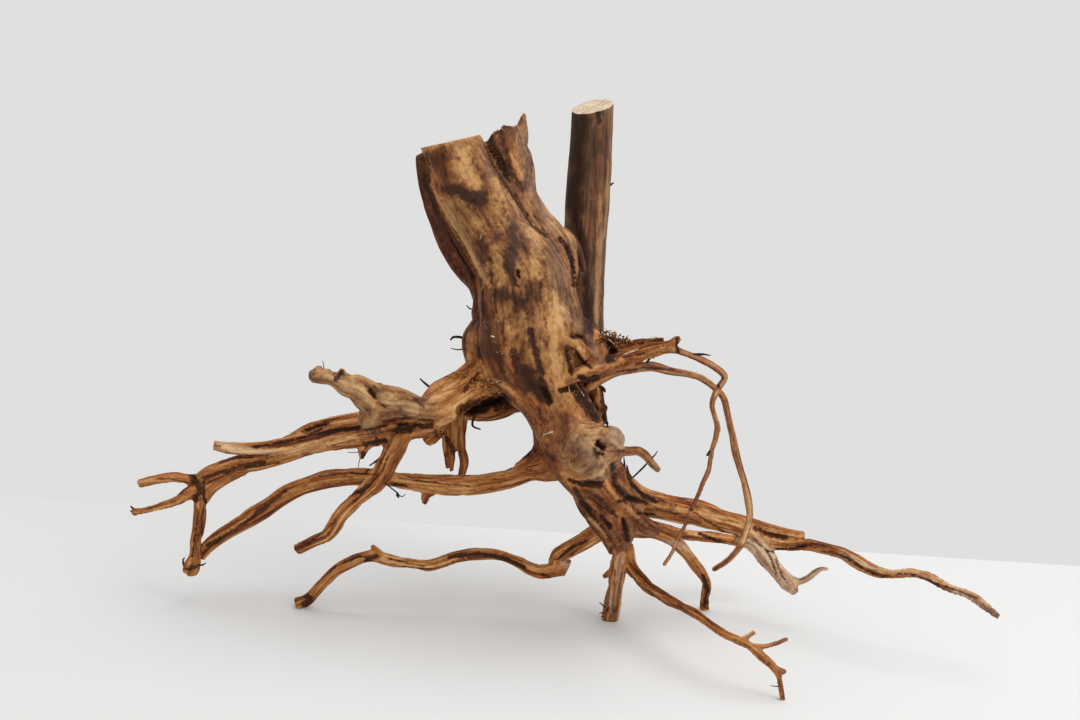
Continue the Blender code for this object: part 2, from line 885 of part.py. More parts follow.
def cutter_mesh():
    """The blocks that the saw cuts and the floor take off the wood."""
    shaped = bmesh.new()
    for spot, outward, half, depth in SAW_CUTS:
        point, _ = placed(*spot)
        block(shaped, point, outward, half, depth)
    long, wide, deep = FLOOR_BLOCK
    made = bmesh.ops.create_cube(shaped, size=1.0)
    for corner in made["verts"]:
        corner.co.x *= 2 * long * MM
        corner.co.y *= 2 * wide * MM
        corner.co.z = (corner.co.z - 0.5) * deep * MM
    bmesh.ops.recalc_face_normals(shaped, faces=shaped.faces)
    mesh = bpy.data.meshes.new("saw_cuts")
    shaped.to_mesh(mesh)
    shaped.free()
    return mesh


def wood_material():
    material = bpy.data.materials.new("wood")
    material.use_nodes = True
    surface = material.node_tree.nodes["Principled BSDF"]
    surface.inputs["Base Color"].default_value = WOOD_COLOR
    surface.inputs["Roughness"].default_value = 0.7
    return material


def build_cutters(collection):
    cutters = bpy.data.objects.new("saw_cuts", cutter_mesh())
    cutters.hide_render = True
    cutters.display_type = "WIRE"
    collection.objects.link(cutters)
    return cutters


def build_root(collection, cutters):
    mesh = shell_mesh()
    mesh.materials.append(wood_material())
    root = bpy.data.objects.new("dry_root", mesh)
    collection.objects.link(root)
    skin = root.modifiers.new("fused_skin", "REMESH")
    skin.mode = "VOXEL"
    skin.voxel_size = SKIN_GRID
    skin.use_smooth_shade = True
    soft = root.modifiers.new("worn_skin", "SMOOTH")
    soft.iterations = SKIN_SMOOTHING
    fewer = root.modifiers.new("fewer_faces", "DECIMATE")
    fewer.ratio = FACES_KEPT
    cuts = root.modifiers.new("saw_cuts", "BOOLEAN")
    cuts.operation = "DIFFERENCE"
    cuts.solver = "EXACT"
    cuts.object = cutters
    return root


def build_part():
    clear_scene()
    parts = new_collection("dry_root")
    helpers = new_collection("cutters")
    helpers.hide_render = True
    cutters = build_cutters(helpers)
    build_root(parts, cutters)


build_part()
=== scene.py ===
"""Looks of the dry root: the solid's own shape with its grain, bark, saw marks and hair roots."""

import math

import bmesh
import bpy
import numpy as np
from mathutils import Matrix, Vector
from mathutils.bvhtree import BVHTree


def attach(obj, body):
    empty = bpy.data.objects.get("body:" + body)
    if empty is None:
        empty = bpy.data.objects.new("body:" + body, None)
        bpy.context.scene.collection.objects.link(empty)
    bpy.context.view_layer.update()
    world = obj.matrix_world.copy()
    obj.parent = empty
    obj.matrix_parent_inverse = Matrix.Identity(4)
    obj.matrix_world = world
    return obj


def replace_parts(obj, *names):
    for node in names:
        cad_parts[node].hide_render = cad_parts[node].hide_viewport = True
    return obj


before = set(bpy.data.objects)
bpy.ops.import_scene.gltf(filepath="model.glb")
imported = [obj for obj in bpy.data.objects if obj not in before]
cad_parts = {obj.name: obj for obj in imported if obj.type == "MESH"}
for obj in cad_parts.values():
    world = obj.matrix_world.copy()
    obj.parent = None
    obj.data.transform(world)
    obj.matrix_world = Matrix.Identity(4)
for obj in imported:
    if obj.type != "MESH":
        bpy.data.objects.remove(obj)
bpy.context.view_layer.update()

MM = 0.001

# Where the front view is taken from, in millimetres. Each station of a route is read as
# millimetres across and up on the upright plane through the origin. It is then drawn along
# its sight line toward this eye, by its third number, the distance in front of that plane.
# The fourth number is the thickness as read on the plane.
EYE = np.array([-47.0, -776.0, 274.0])

# The view's tilt and lens.
PITCH_DOWN = math.radians(9.83)
ROLL = math.radians(3.71)
LENS = 50.0
SENSOR = 36.0

# Spacing of the rings along a route, and the number of points round a ring.
RING_STEP = 1.0
TRUNK_POINTS = 64
ROOT_POINTS = 28
HAIR_POINTS = 6

# Share by which the thickness wanders along a route, the lengths of its two waves, how far the
# ridges turn in a millimetre, and how far a tip bulges as a share of the thickness.
TRUNK_GNARL = 0.01
ROOT_GNARL = 0.045
LONG_WAVE = 9
SHORT_WAVE = 3.7
TWIST = 0.02
TIP_BULGE = 0.2

# Thinnest root and thinnest hair root that are modelled.
LEAST_THICKNESS = 2.4
LEAST_HAIR = 0.3

# The fused skin: grid size, smoothing and number of triangles kept.
SKIN_GRID = 0.8 * MM
SKIN_SMOOTHING = 1
SKIN_TRIANGLES = 186000

# Where each kind of chance starts from.
SHAPE_SEED = 7
RELIEF_SEED = 3
SAW_SEED = 20
STEM_SEED = 30
MARK_SEED = 40
HAIR_SEED = 11
STRAW_SEED = 12
CRUMB_SEED = 13

# Odd numbers that scatter a cell's place and its bits in the noise.
CELL_SCATTER = [np.uint32(odd) for odd in (73856093, 19349663, 83492791)]
BIT_SCATTER = [np.uint32(odd) for odd in (2246822519, 3266489917)]
SEED_SCATTER = 2654435

# How far a limb's wood reaches, in radii, and what counts as out of its reach. The blend into
# the next limb is this wide, in radii too. Each limb's grain starts this many millimetres on.
LIMB_MARGIN = 2.2
OUT_OF_REACH = 9.0
BLEND_WIDTH = 0.5
GRAIN_START = 400
BATCH = 4000

# The relief in millimetres: how long the flutes are, how wide and long the fine grooves are,
# and the size of large and small lumps. Kinds with flutes lower than this look smooth.
FLUTE_LENGTH = 34
GROOVE_WIDTH = 2.1
GROOVE_LENGTH = 22
LUMP = 11
SMALL_LUMP = 5
SMOOTH_FLUTE = 0.04

# The saw's lines on a cut, in millimetres: width, slant and length, and the waves under them.
SAW_LINE = (1.9, 9, 40)
SAW_WAVE = 7

# Patterns in the wood: width and length in millimetres.
STREAKS = (2.4, 55)
FIBRES = (0.6, 18)
BLOTS = (9, 22)
CLOUD = (20, 20)
FINE = (2.6, 2.6)
PITS = (0.8, 0.8)

# How much of the light the dry surface throws straight back.
SPECULAR = 0.12

# Wood colours, dark to pale.
DARK = (0.020, 0.008, 0.004)
RED_BROWN = (0.140, 0.038, 0.010)
BROWN = (0.235, 0.082, 0.023)
ORANGE = (0.420, 0.168, 0.042)
TAN = (0.580, 0.320, 0.118)
PALE = (0.740, 0.510, 0.260)
GREY_TAN = (0.440, 0.310, 0.190)
BARK_DARK = (0.080, 0.032, 0.016)
BARK_BROWN = (0.200, 0.084, 0.032)
BARK_OCHRE = (0.350, 0.182, 0.064)
BARK_TAN = (0.560, 0.330, 0.130)
CREAM = (0.740, 0.610, 0.450)
CREAM_DARK = (0.420, 0.270, 0.150)
CREAM_PALE = (0.820, 0.720, 0.560)

# The floor's half width, how far back it goes and how far below the foot it is, in metres, and
# the pale surround's strength.
FLOOR_HALF = 6.0
FLOOR_BACK = 0.16
FLOOR_DROP = 0.0002
FLOOR_COLOR = (0.72, 0.72, 0.715, 1)
SKY_COLOR = (0.80, 0.80, 0.795, 1)
SKY_STRENGTH = 0.93

# Soft square lights, turned to the middle of the wood: name, place and size in metres, power.
LIGHTS = [
    ("overhead", (0.35, -0.05, 1.3), 1.1, 8.5),
    ("front_right", (0.9, -0.9, 0.9), 0.8, 5),
]
LIGHT_AIM = (-0.03, 0.0, 0.12)

FRONT_STEM = [
    (-106, 264, 0, 30), (-100, 250, 1, 30.5), (-95, 240, 2, 32), (-91.5, 232, 4, 34),
    (-86.5, 224, 6, 35), (-77, 210, 9, 35), (-70, 200, 11, 36), (-62, 190, 13, 42),
    (-57.5, 180, 15, 48), (-56, 170, 17, 52), (-54, 160, 18, 55), (-52.5, 150, 20, 57),
    (-50.5, 140, 22, 54), (-46, 130, 25, 45), (-40, 120, 28, 36), (-33.5, 110, 30, 35),
    (-27.5, 100, 31, 35.5), (-22, 90, 31, 36), (-14.5, 80, 30, 32), (-4.2, 70, 27, 27.5),
    (-0.8, 60, 23, 28.5), (1, 50, 20, 20), (3, 43, 18, 12),
]

HOLLOW_LIP = [
    (-108.5, 243, -16, 17), (-106.5, 233, -16, 19), (-104.3, 225, -16, 19.5), (-100, 213, -15, 20),
    (-94.3, 201, -14, 20.4), (-88.4, 190.4, -12, 19.2), (-79, 180, -8, 18.4), (-75, 171, -4, 18.8),
    (-73.2, 160, 2, 21.5), (-70, 148, 8, 18),
]

BROKEN_STEM = [
    (-67.5, 257.4, -12, 12), (-69.6, 252.6, -12, 19), (-70.5, 246, -12, 22.5),
    (-68.5, 240, -12, 22.5), (-66.5, 230, -11, 22), (-64, 221, -9, 21.5), (-57.2, 210, -7, 23.6),
    (-49.8, 200, -4, 27.4), (-45, 190, 0, 29.6), (-44, 178, 6, 26),
]

BROKEN_SPIKE = [
    (-65, 245, -13, 9), (-64, 256, -14, 7.6), (-63.6, 262, -14, 4.6), (-63, 266.4, -14, 2.4),
]

STRAIGHT_STEM = [
    (-28.5, 282, -46, 20.8), (-28.4, 276, -45, 20.8), (-27.8, 250, -43, 22.2),
    (-27.7, 225, -41, 22.6), (-27.4, 200, -38, 22.2), (-26.6, 175, -34, 21.2),
    (-25.5, 155, -29, 22), (-25.4, 138, -22, 23), (-25.5, 120, -12, 23.5), (-23.5, 106, 0, 24),
    (-20, 92, 10, 22),
]

PRUNED_STUB = [
    (-52, 188, -4, 26), (-45, 192, -6, 22), (-39, 195, -8, 18), (-35, 196.5, -10, 14),
]

STUB_RIM = [
    (-43, 209.6, -8, 2.6), (-38.4, 208, -8, 3.2), (-34.2, 204.6, -8, 3.6), (-31.2, 199.6, -8, 3.6),
    (-29.2, 193.6, -8, 3.4), (-27.6, 187.6, -8, 3),
]

BACK_RIB = [
    (-86, 248, -14, 16), (-81, 236, -15, 22), (-74, 222, -15, 26), (-65, 205, -12, 32),
    (-59, 190, -8, 36), (-57, 172, 0, 38),
]

LEFT_SWELLING = [
    (-74, 160, 6, 16), (-74.5, 149, 10, 27), (-74, 139, 13, 26), (-72, 128, 16, 20),
]

RIGHT_SWELLING = [
    (-31, 160, 14, 12), (-25, 152, 18, 17), (-21, 143, 20, 18), (-23, 132, 20, 15),
]

SHOULDER = [
    (-60, 140, 16, 34), (-74, 130.5, 20, 26), (-83.4, 122.6, 24, 20.6), (-91.4, 116.6, 27, 22),
    (-98, 112, 29, 22), (-106, 105.5, 30, 17), (-115, 102.5, 30, 14),
]

CROWN_WEB = [
    (-44, 112, 26, 12), (-42.6, 102, 26, 12), (-42, 93, 25, 11), (-47, 86, 23, 9), (-55, 80, 21, 7),
]

ROOT_COLLAR = [
    (-35, 128, 38, 6), (-28, 132, 34, 9), (-19.5, 136, 28, 10.5), (-10, 139.5, 21, 10),
    (0, 143.3, 15, 9),
]

SWIRL_FOLD = [
    (-36, 153.5, 36, 5), (-31, 150.5, 35, 7), (-26, 146.5, 32, 7.5), (-21, 141.5, 28, 6.5),
]

CROWN_RIDGE_LEFT = [
    (-25, 78, 30, 9), (-21, 70, 30, 9.5), (-16.5, 61.5, 28, 9.5), (-11, 54, 26, 9), (-5, 47, 23, 8),
    (0, 38, 19, 7),
]

CROWN_RIDGE_MIDDLE = [
    (-11, 81, 42, 5), (-6, 72, 38, 6), (1, 64.5, 35, 6.5), (8, 58.5, 30, 7.5), (14, 54, 23, 8.5),
    (20, 51.5, 12, 8.5),
]

CROWN_RIDGE_RIGHT = [
    (-2, 84, 36, 6), (3, 76, 32, 7), (9, 69.5, 26, 8), (18, 66, 17, 8), (28, 64.5, 10, 8),
]

NEAR_BRANCH = [
    (-98, 111, 32, 15), (-108, 109.8, 40, 13.2), (-119.5, 111.6, 48, 17), (-129.5, 111.6, 55, 19),
    (-136.3, 114, 59, 15.6), (-142.4, 117.9, 61, 12.5), (-148.3, 119, 63, 10.5),
    (-155.8, 122.4, 65, 8), (-163, 123.4, 66, 8.3), (-167, 122.6, 66, 6.5),
]

NEAR_BRANCH_BUMP = [
    (-149, 121, 63, 6), (-151, 127.5, 64, 2.6),
]

NEAR_BRANCH_ROOT = [
    (-133, 110, 54, 14), (-135, 103, 46, 12), (-133, 97, 36, 10),
]

SAWN_BRANCH = [
    (-108, 105, 30, 15), (-125, 101.5, 33, 12), (-140, 97, 32, 11), (-155, 93, 31, 10.5),
    (-170, 87.5, 30, 9.5), (-185, 83, 29, 8.5), (-200, 81, 28, 7.6), (-208, 81.2, 27, 6.6),
    (-219, 82.8, 26, 6),
]

UPPER_STRAND = [
    (-120, 104, 28, 10), (-138, 102, 26, 8), (-151, 98.5, 24, 7.5), (-163, 95, 22, 8.5),
    (-177, 88, 21, 6), (-190, 80, 20, 6), (-203, 74.5, 19, 7),
]

LEFT_ROOT = [
    (-104, 104, 26, 13), (-118, 98.5, 26, 12), (-134, 93.3, 25, 11.2), (-150, 89.4, 24, 9),
    (-166, 84.2, 22, 8.5), (-181.3, 78, 21, 8), (-192, 74.3, 20, 8), (-203.5, 72.6, 19, 10.4),
    (-214.5, 67.9, 18, 11.4), (-222, 62.5, 18, 12), (-224, 57, 18, 9.5), (-223.4, 50.2, 18, 6.9),
    (-224, 36.3, 18, 5.7), (-225.2, 28.4, 18, 5.7), (-225.5, 20.6, 19, 6), (-227.3, 14, 19, 8.4),
    (-228.5, 10.4, 19, 7.2),
]

LEFT_ROOT_WEB = [
    (-200, 70, 19, 6), (-209.6, 66, 18, 8), (-217, 60, 18, 8), (-222, 51.6, 18, 6),
]

LEFT_ROOT_THORN = [
    (-136, 89, 25, 8), (-137.8, 84.5, 25, 5.4), (-138.4, 80, 25, 2.2),
]

LEFT_UPPER_FORK = [
    (-222, 62, 18, 9), (-231, 63, 18, 6.2), (-239, 63.3, 17, 6.2), (-248, 61.4, 16, 5.4),
    (-256.5, 58.6, 15, 4.6),
]

LEFT_LOWER_FORK = [
    (-224, 58, 18, 9), (-231, 54.4, 19, 6.6), (-236.5, 50.3, 20, 5), (-244, 47.4, 20, 4.2),
    (-252.9, 44, 21, 3.9), (-259.5, 42.6, 21, 4.6),
]

DROPPING_BRANCH = [
    (-98, 103, 22, 12), (-107, 99.5, 25, 13), (-115.8, 96, 27, 12.6), (-120, 88.5, 28, 11.8),
    (-124.2, 80, 28, 11), (-127.7, 71.4, 28, 10), (-133.4, 63.9, 28, 9), (-141.6, 56.2, 29, 8.4),
    (-148, 48.6, 30, 8), (-151.4, 42, 30, 8), (-155.4, 36.6, 30, 7.2), (-162, 33.1, 31, 5.6),
    (-171, 27.6, 31, 5.2),
]

LONG_LEFT_ROOT = [
    (-28, 86, 28, 18), (-39, 82, 26, 14), (-47, 80, 24, 11.5), (-55, 76.4, 22, 10.2),
    (-64, 73.3, 20, 10), (-79, 70, 17, 9.6), (-94, 68.8, 14, 9.8), (-109, 69.2, 12, 8.8),
    (-120, 70, 11, 8.7), (-131, 70.5, 10, 8.6), (-143, 70, 10, 8.6), (-155, 68, 9, 9.3),
    (-166, 64, 8, 9.3), (-177, 58.5, 8, 9.6), (-188, 50, 8, 9.5), (-199, 42, 8, 9),
    (-207, 36.3, 8, 8.5), (-214, 31, 8, 8), (-220, 25.5, 8, 7.5), (-223, 20, 8, 6),
]

LONG_LEFT_STUB = [
    (-98, 67, 12, 7), (-103, 63, 12, 5.5), (-103.8, 58, 12, 3.6),
]

HOLLOW_ROOT = [
    (-46, 122, -6, 26), (-53, 120.5, -14, 20), (-60, 118.5, -20, 16), (-67, 115.5, -22, 16),
    (-75, 112.5, -22, 16), (-82, 111.5, -20, 14), (-89, 110.8, -14, 11.5), (-98, 110, -4, 11),
    (-104, 107, 10, 10),
]

HANGING_ROOT_RIGHT = [
    (-87, 108, -12, 8), (-86.6, 100, -10, 6), (-85.4, 89.4, -8, 4.8), (-83.6, 81.9, -7, 4.6),
    (-84.8, 73.5, -7, 3.6),
]

HANGING_ROOT_LEFT = [
    (-95, 107, -4, 9), (-93.8, 97, -3, 6.4), (-93.7, 87.6, -3, 3.8), (-92.4, 78, -3, 2.8),
]

HANGING_ROOT_MIDDLE = [
    (-90.8, 109, -9, 7), (-90.4, 103, -6, 5.4), (-89.8, 96, -5, 4), (-89.8, 86, -5, 3),
    (-90.4, 76.5, -5, 2.4),
]

HANGING_STUB = [
    (-96, 104, 4, 9.4), (-100, 96.5, 4, 9), (-104.5, 92, 4, 6.6),
]

FRONT_KNOB = [
    (-27, 98, 34, 30), (-20, 95, 52, 24), (-15.5, 92, 70, 27), (-14, 91, 84, 28),
    (-13, 90.5, 94, 20),
]

KNOB_EAR = [
    (-15, 97, 62, 16), (-7, 100, 66, 13), (-4, 97, 70, 10),
]

KNOB_HOOK = [
    (-9, 93.4, 80, 11), (-3, 93.4, 83, 7.6), (3.5, 93.6, 84, 5.6), (7.8, 94.2, 85, 5.2),
    (12.6, 91.6, 86, 4.8), (16.4, 87.2, 87, 4.2), (20, 84.2, 88, 3.4),
]

UPPER_RIGHT_ROOT = [
    (-25, 132, 16, 18), (-16, 136, 14, 12), (-6.5, 140.7, 12, 9), (0, 144, 12, 9.5),
    (10.4, 148.3, 13, 8), (17.3, 150.6, 14, 6.6), (21.2, 152.2, 15, 5.6), (24.8, 156.4, 15, 3.8),
]

DEAD_STRIP = [
    (-17, 149, 2, 12), (-9, 149.6, 5, 9.6), (-1, 150.2, 7, 6), (5, 152, 8, 4.5),
    (17, 154.6, 9, 3.2),
]

OUTER_THIN_ROOT = [
    (19, 150, 14, 5), (24, 149.4, 15, 4), (31.4, 147.4, 17, 3.5), (38.5, 144.9, 18, 3.9),
    (44.4, 142, 19, 4.1), (48.8, 139.1, 20, 3.9), (50.5, 136.5, 20, 3.5), (48.3, 132.2, 20, 3.5),
    (46, 127.1, 20, 3.4), (45, 121.3, 20, 3), (46.9, 115.6, 20, 2.9), (48.8, 110, 20, 3.2),
    (48.4, 103.4, 20, 3.2), (47, 97.6, 20, 3), (46.6, 91.8, 20, 2.7), (46, 85.9, 20, 2.8),
    (43.7, 79, 20, 2.6), (42, 73.1, 20, 2.5), (37.6, 60.4, 20, 2.4), (35.7, 54.3, 20, 2.4),
    (32.4, 45.9, 20, 2.2), (29.8, 38.3, 20, 2), (26.4, 32.2, 20, 1.8),
]

INNER_THIN_ROOT = [
    (-22, 129, 14, 9), (-13, 133.5, 11, 7), (-6.4, 136.1, 9, 5.4), (0.6, 137.6, 8, 5.2),
    (11, 140, 8, 5.6), (21.5, 138.2, 8, 4.3), (30, 137.4, 9, 3.7), (36.4, 136.1, 10, 3.5),
    (41.5, 133.6, 11, 3.6), (46.8, 129.9, 12, 3.8), (50.2, 126.6, 13, 3.9), (51.9, 123.1, 13, 3.9),
    (53.5, 117.5, 13, 3.6), (55.4, 111.1, 14, 3.6), (57.2, 105.5, 14, 3.9), (59.3, 97.5, 14, 4.3),
    (62.4, 89, 15, 3.9), (65.2, 82, 15, 3.8), (67.5, 74.8, 15, 3.9), (69, 69, 15, 4.2),
    (70, 63.3, 15, 3.9), (69.7, 58.1, 15, 3.6), (68.4, 52.8, 15, 3.6), (66.7, 46.7, 16, 3.6),
    (63.6, 41.3, 16, 3.4), (59.7, 36.6, 16, 3.2), (53, 31.4, 16, 2.8),
]

SHORT_RIGHT_ROOT = [
    (-20, 134, 4, 10), (-16.5, 126, 0, 7), (-13.5, 117, -1, 6), (-10.5, 108, 0, 4),
]

LONG_RIGHT_ROOT = [
    (-15, 92, 28, 18), (-6, 81, 24, 15), (3.5, 71.4, 17, 14.6), (14.5, 65.8, 9, 14.4),
    (29.6, 64, 2, 14.2), (42, 62.2, -1, 14), (53, 59.2, -3, 12.3), (64, 56.5, -4, 11),
    (75, 51, -4, 9), (84, 48.4, -1, 6.6), (93, 47.6, 2, 5.6), (101, 48.8, 5, 6.4),
    (109.5, 47.5, 9, 6.7), (120.4, 45.3, 13, 7.2), (128.5, 41.7, 20, 7.6), (134.6, 38.7, 26, 7.4),
    (142.5, 36, 31, 6.2), (150.3, 35.6, 34, 5.3), (158.8, 36.9, 36, 5.5), (167.7, 35.6, 37, 5.6),
    (173.8, 32.6, 38, 5.9), (182.1, 29.3, 40, 5.1), (189.2, 27.6, 42, 4.9), (195.3, 24.9, 44, 4.9),
    (201.9, 20.3, 46, 4), (209.2, 15.4, 47, 2.4),
]

SAWN_STRAND = [
    (55, 60.5, -4, 9), (64, 59, -6, 8), (74, 57, -6, 7), (86, 54.6, -3, 6.2), (104, 53.2, 2, 5.8),
]

SPLIT_ROOT = [
    (66, 53, -4, 10), (76, 46.6, -2, 10.6), (81, 40.3, 0, 10.4), (86.5, 34, 2, 8.6),
    (93.6, 27, 4, 9), (98.5, 21.5, 5, 4.6),
]

SPLIT_ROOT_HOOK = [
    (93, 29.5, 4, 6), (99.7, 28, 4, 3.9), (104.3, 30.3, 5, 3.6), (107.9, 33.8, 5, 3.4),
    (111, 36, 5, 2.8), (114.5, 35.8, 5, 2.4),
]

BACK_RIGHT_ROOT = [
    (4, 56, 8, 12), (16, 52.5, -15, 9), (27, 50.6, -34, 8), (39, 49.8, -48, 6.5),
    (50, 49.7, -52, 6), (60, 48.9, -53, 5.8), (69, 47, -53, 5), (75, 45.8, -52, 3.4),
]

RIGHT_PROP_ROOT = [
    (2, 54, 14, 14), (10.8, 52, 4, 10.6), (18.7, 51.4, -1, 9.8), (25.1, 49.4, -5, 9.2),
    (31.4, 46.4, -8, 7.2), (36.3, 41.7, -12, 6.2), (41.7, 35.6, -16, 5.7), (47, 29.6, -20, 5.5),
    (49.9, 24.4, -23, 5), (50.4, 20.5, -25, 5), (50, 15.4, -26, 4.8), (50.7, 6, -27, 4.6),
]

FRONT_PROP_ROOT = [
    (4, 42, 12, 10), (7.4, 33, 10, 8.4), (12, 26.3, 16, 7.5), (20.2, 19.2, 30, 6.7),
    (28.8, 14, 45, 6), (37.1, 10.2, 59, 5.5), (46, 6, 71, 5.9), (56.5, -0.7, 82, 5.3),
    (63.4, -4.8, 88, 5.1), (70.8, -7.3, 92, 5.3), (76.8, -10.3, 94, 5.2), (83.7, -15.8, 96, 5.2),
    (89.8, -20.8, 97, 5), (93.5, -25.9, 97, 4.1), (95.4, -32.5, 97, 3.6), (97.6, -41, 97, 3.4),
]

FRONT_PROP_TWIG = [
    (77, -10, 94, 3.8), (81, -10, 94, 2.9), (85.4, -9.5, 94, 2.8), (90.3, -7.7, 94, 2.8),
    (93.9, -5.9, 94, 2.6), (96.6, -4.4, 94, 2.2),
]

FRONT_PROP_SPUR = [
    (72, -6.5, 93, 3.2), (75.5, -4, 93, 2.4), (78.4, -1.7, 93, 1.8),
]

FRONT_PROP_THORN = [
    (91.5, -22, 97, 4), (97.3, -23.5, 97, 1.6),
]

TAP_ROOT = [
    (-2, 60, 24, 24), (1.5, 50, 21, 13.5), (3, 42, 18, 8.6), (2.2, 33.6, 13, 8.8),
    (1.6, 21, 7, 8.5), (0.8, 9, 2, 9.2), (0, 0, 0, 9.2), (-0.4, -6, 0, 9.2),
]

TAP_ROOT_THORN = [
    (-1, 27, 10, 5), (-5.5, 23.4, 10, 2),
]

LEFT_PROP_START = [
    (-4, 55, 20, 16), (-8.5, 49.5, 16, 11), (-16.1, 43.7, 12, 10), (-23.5, 38.5, 8, 10),
    (-29, 34.8, 6, 8.6), (-31.5, 30, 5, 7), (-31.5, 27.5, 5, 6),
]

LEFT_PROP_ROOT = [
    (-19, 28.2, 5, 7.4), (-25, 27.6, 5, 7.6), (-30.7, 26.3, 5, 7.6), (-38.4, 24.4, 5, 8.2),
    (-44.8, 25.6, 5, 7.3), (-51.7, 29, 6, 6.4), (-63.2, 32.2, 6, 6), (-74.3, 31.8, 7, 6.1),
    (-85.4, 29.3, 7, 6.3), (-91, 26.8, 8, 6.6), (-99.6, 23.8, 8, 6.6), (-107.4, 24.1, 9, 5.8),
    (-119.7, 25, 9, 5.9), (-128.7, 27.1, 10, 6.2), (-135.3, 25.8, 10, 6.2), (-143, 21.9, 11, 6.3),
    (-150.1, 16.9, 11, 6.2), (-157.2, 8.4, 12, 6), (-163.6, 0.6, 12, 6.8), (-169.5, -3, 12, 7),
]

LEFT_PROP_THORN = [
    (-126, 28.5, 10, 4), (-130.6, 32.8, 10, 1.8),
]

BACK_STUB = [
    (-50, 138, 2, 24), (-48, 134, -24, 15), (-46, 130, -44, 12), (-45, 127, -56, 9),
]

LOWER_BACK_STUB = [
    (-10, 76, 10, 20), (-6, 75, -14, 12), (-4, 76, -34, 9), (-4, 79, -48, 6),
]

# Saw cuts: a point on the cut as read in the front view with its distance in front, the way
# that the cut face looks, and the half width and the depth of the block taken off.
SAW_CUTS = [
    ((-100, 250, 5), (-0.28, 0.0, 0.96), 26, 50),
    ((-28.7, 272.2, -45), (-0.24, -0.28, 0.93), 16, 40),
    ((-216.8, 82.4, 26), (-0.99, 0.0, 0.12), 6, 12),
    ((-24.4, 28.4, 5), (0.94, 0.0, -0.34), 8, 14),
    ((100.3, 53.2, 2), (0.99, 0.0, 0.1), 4, 8),
]

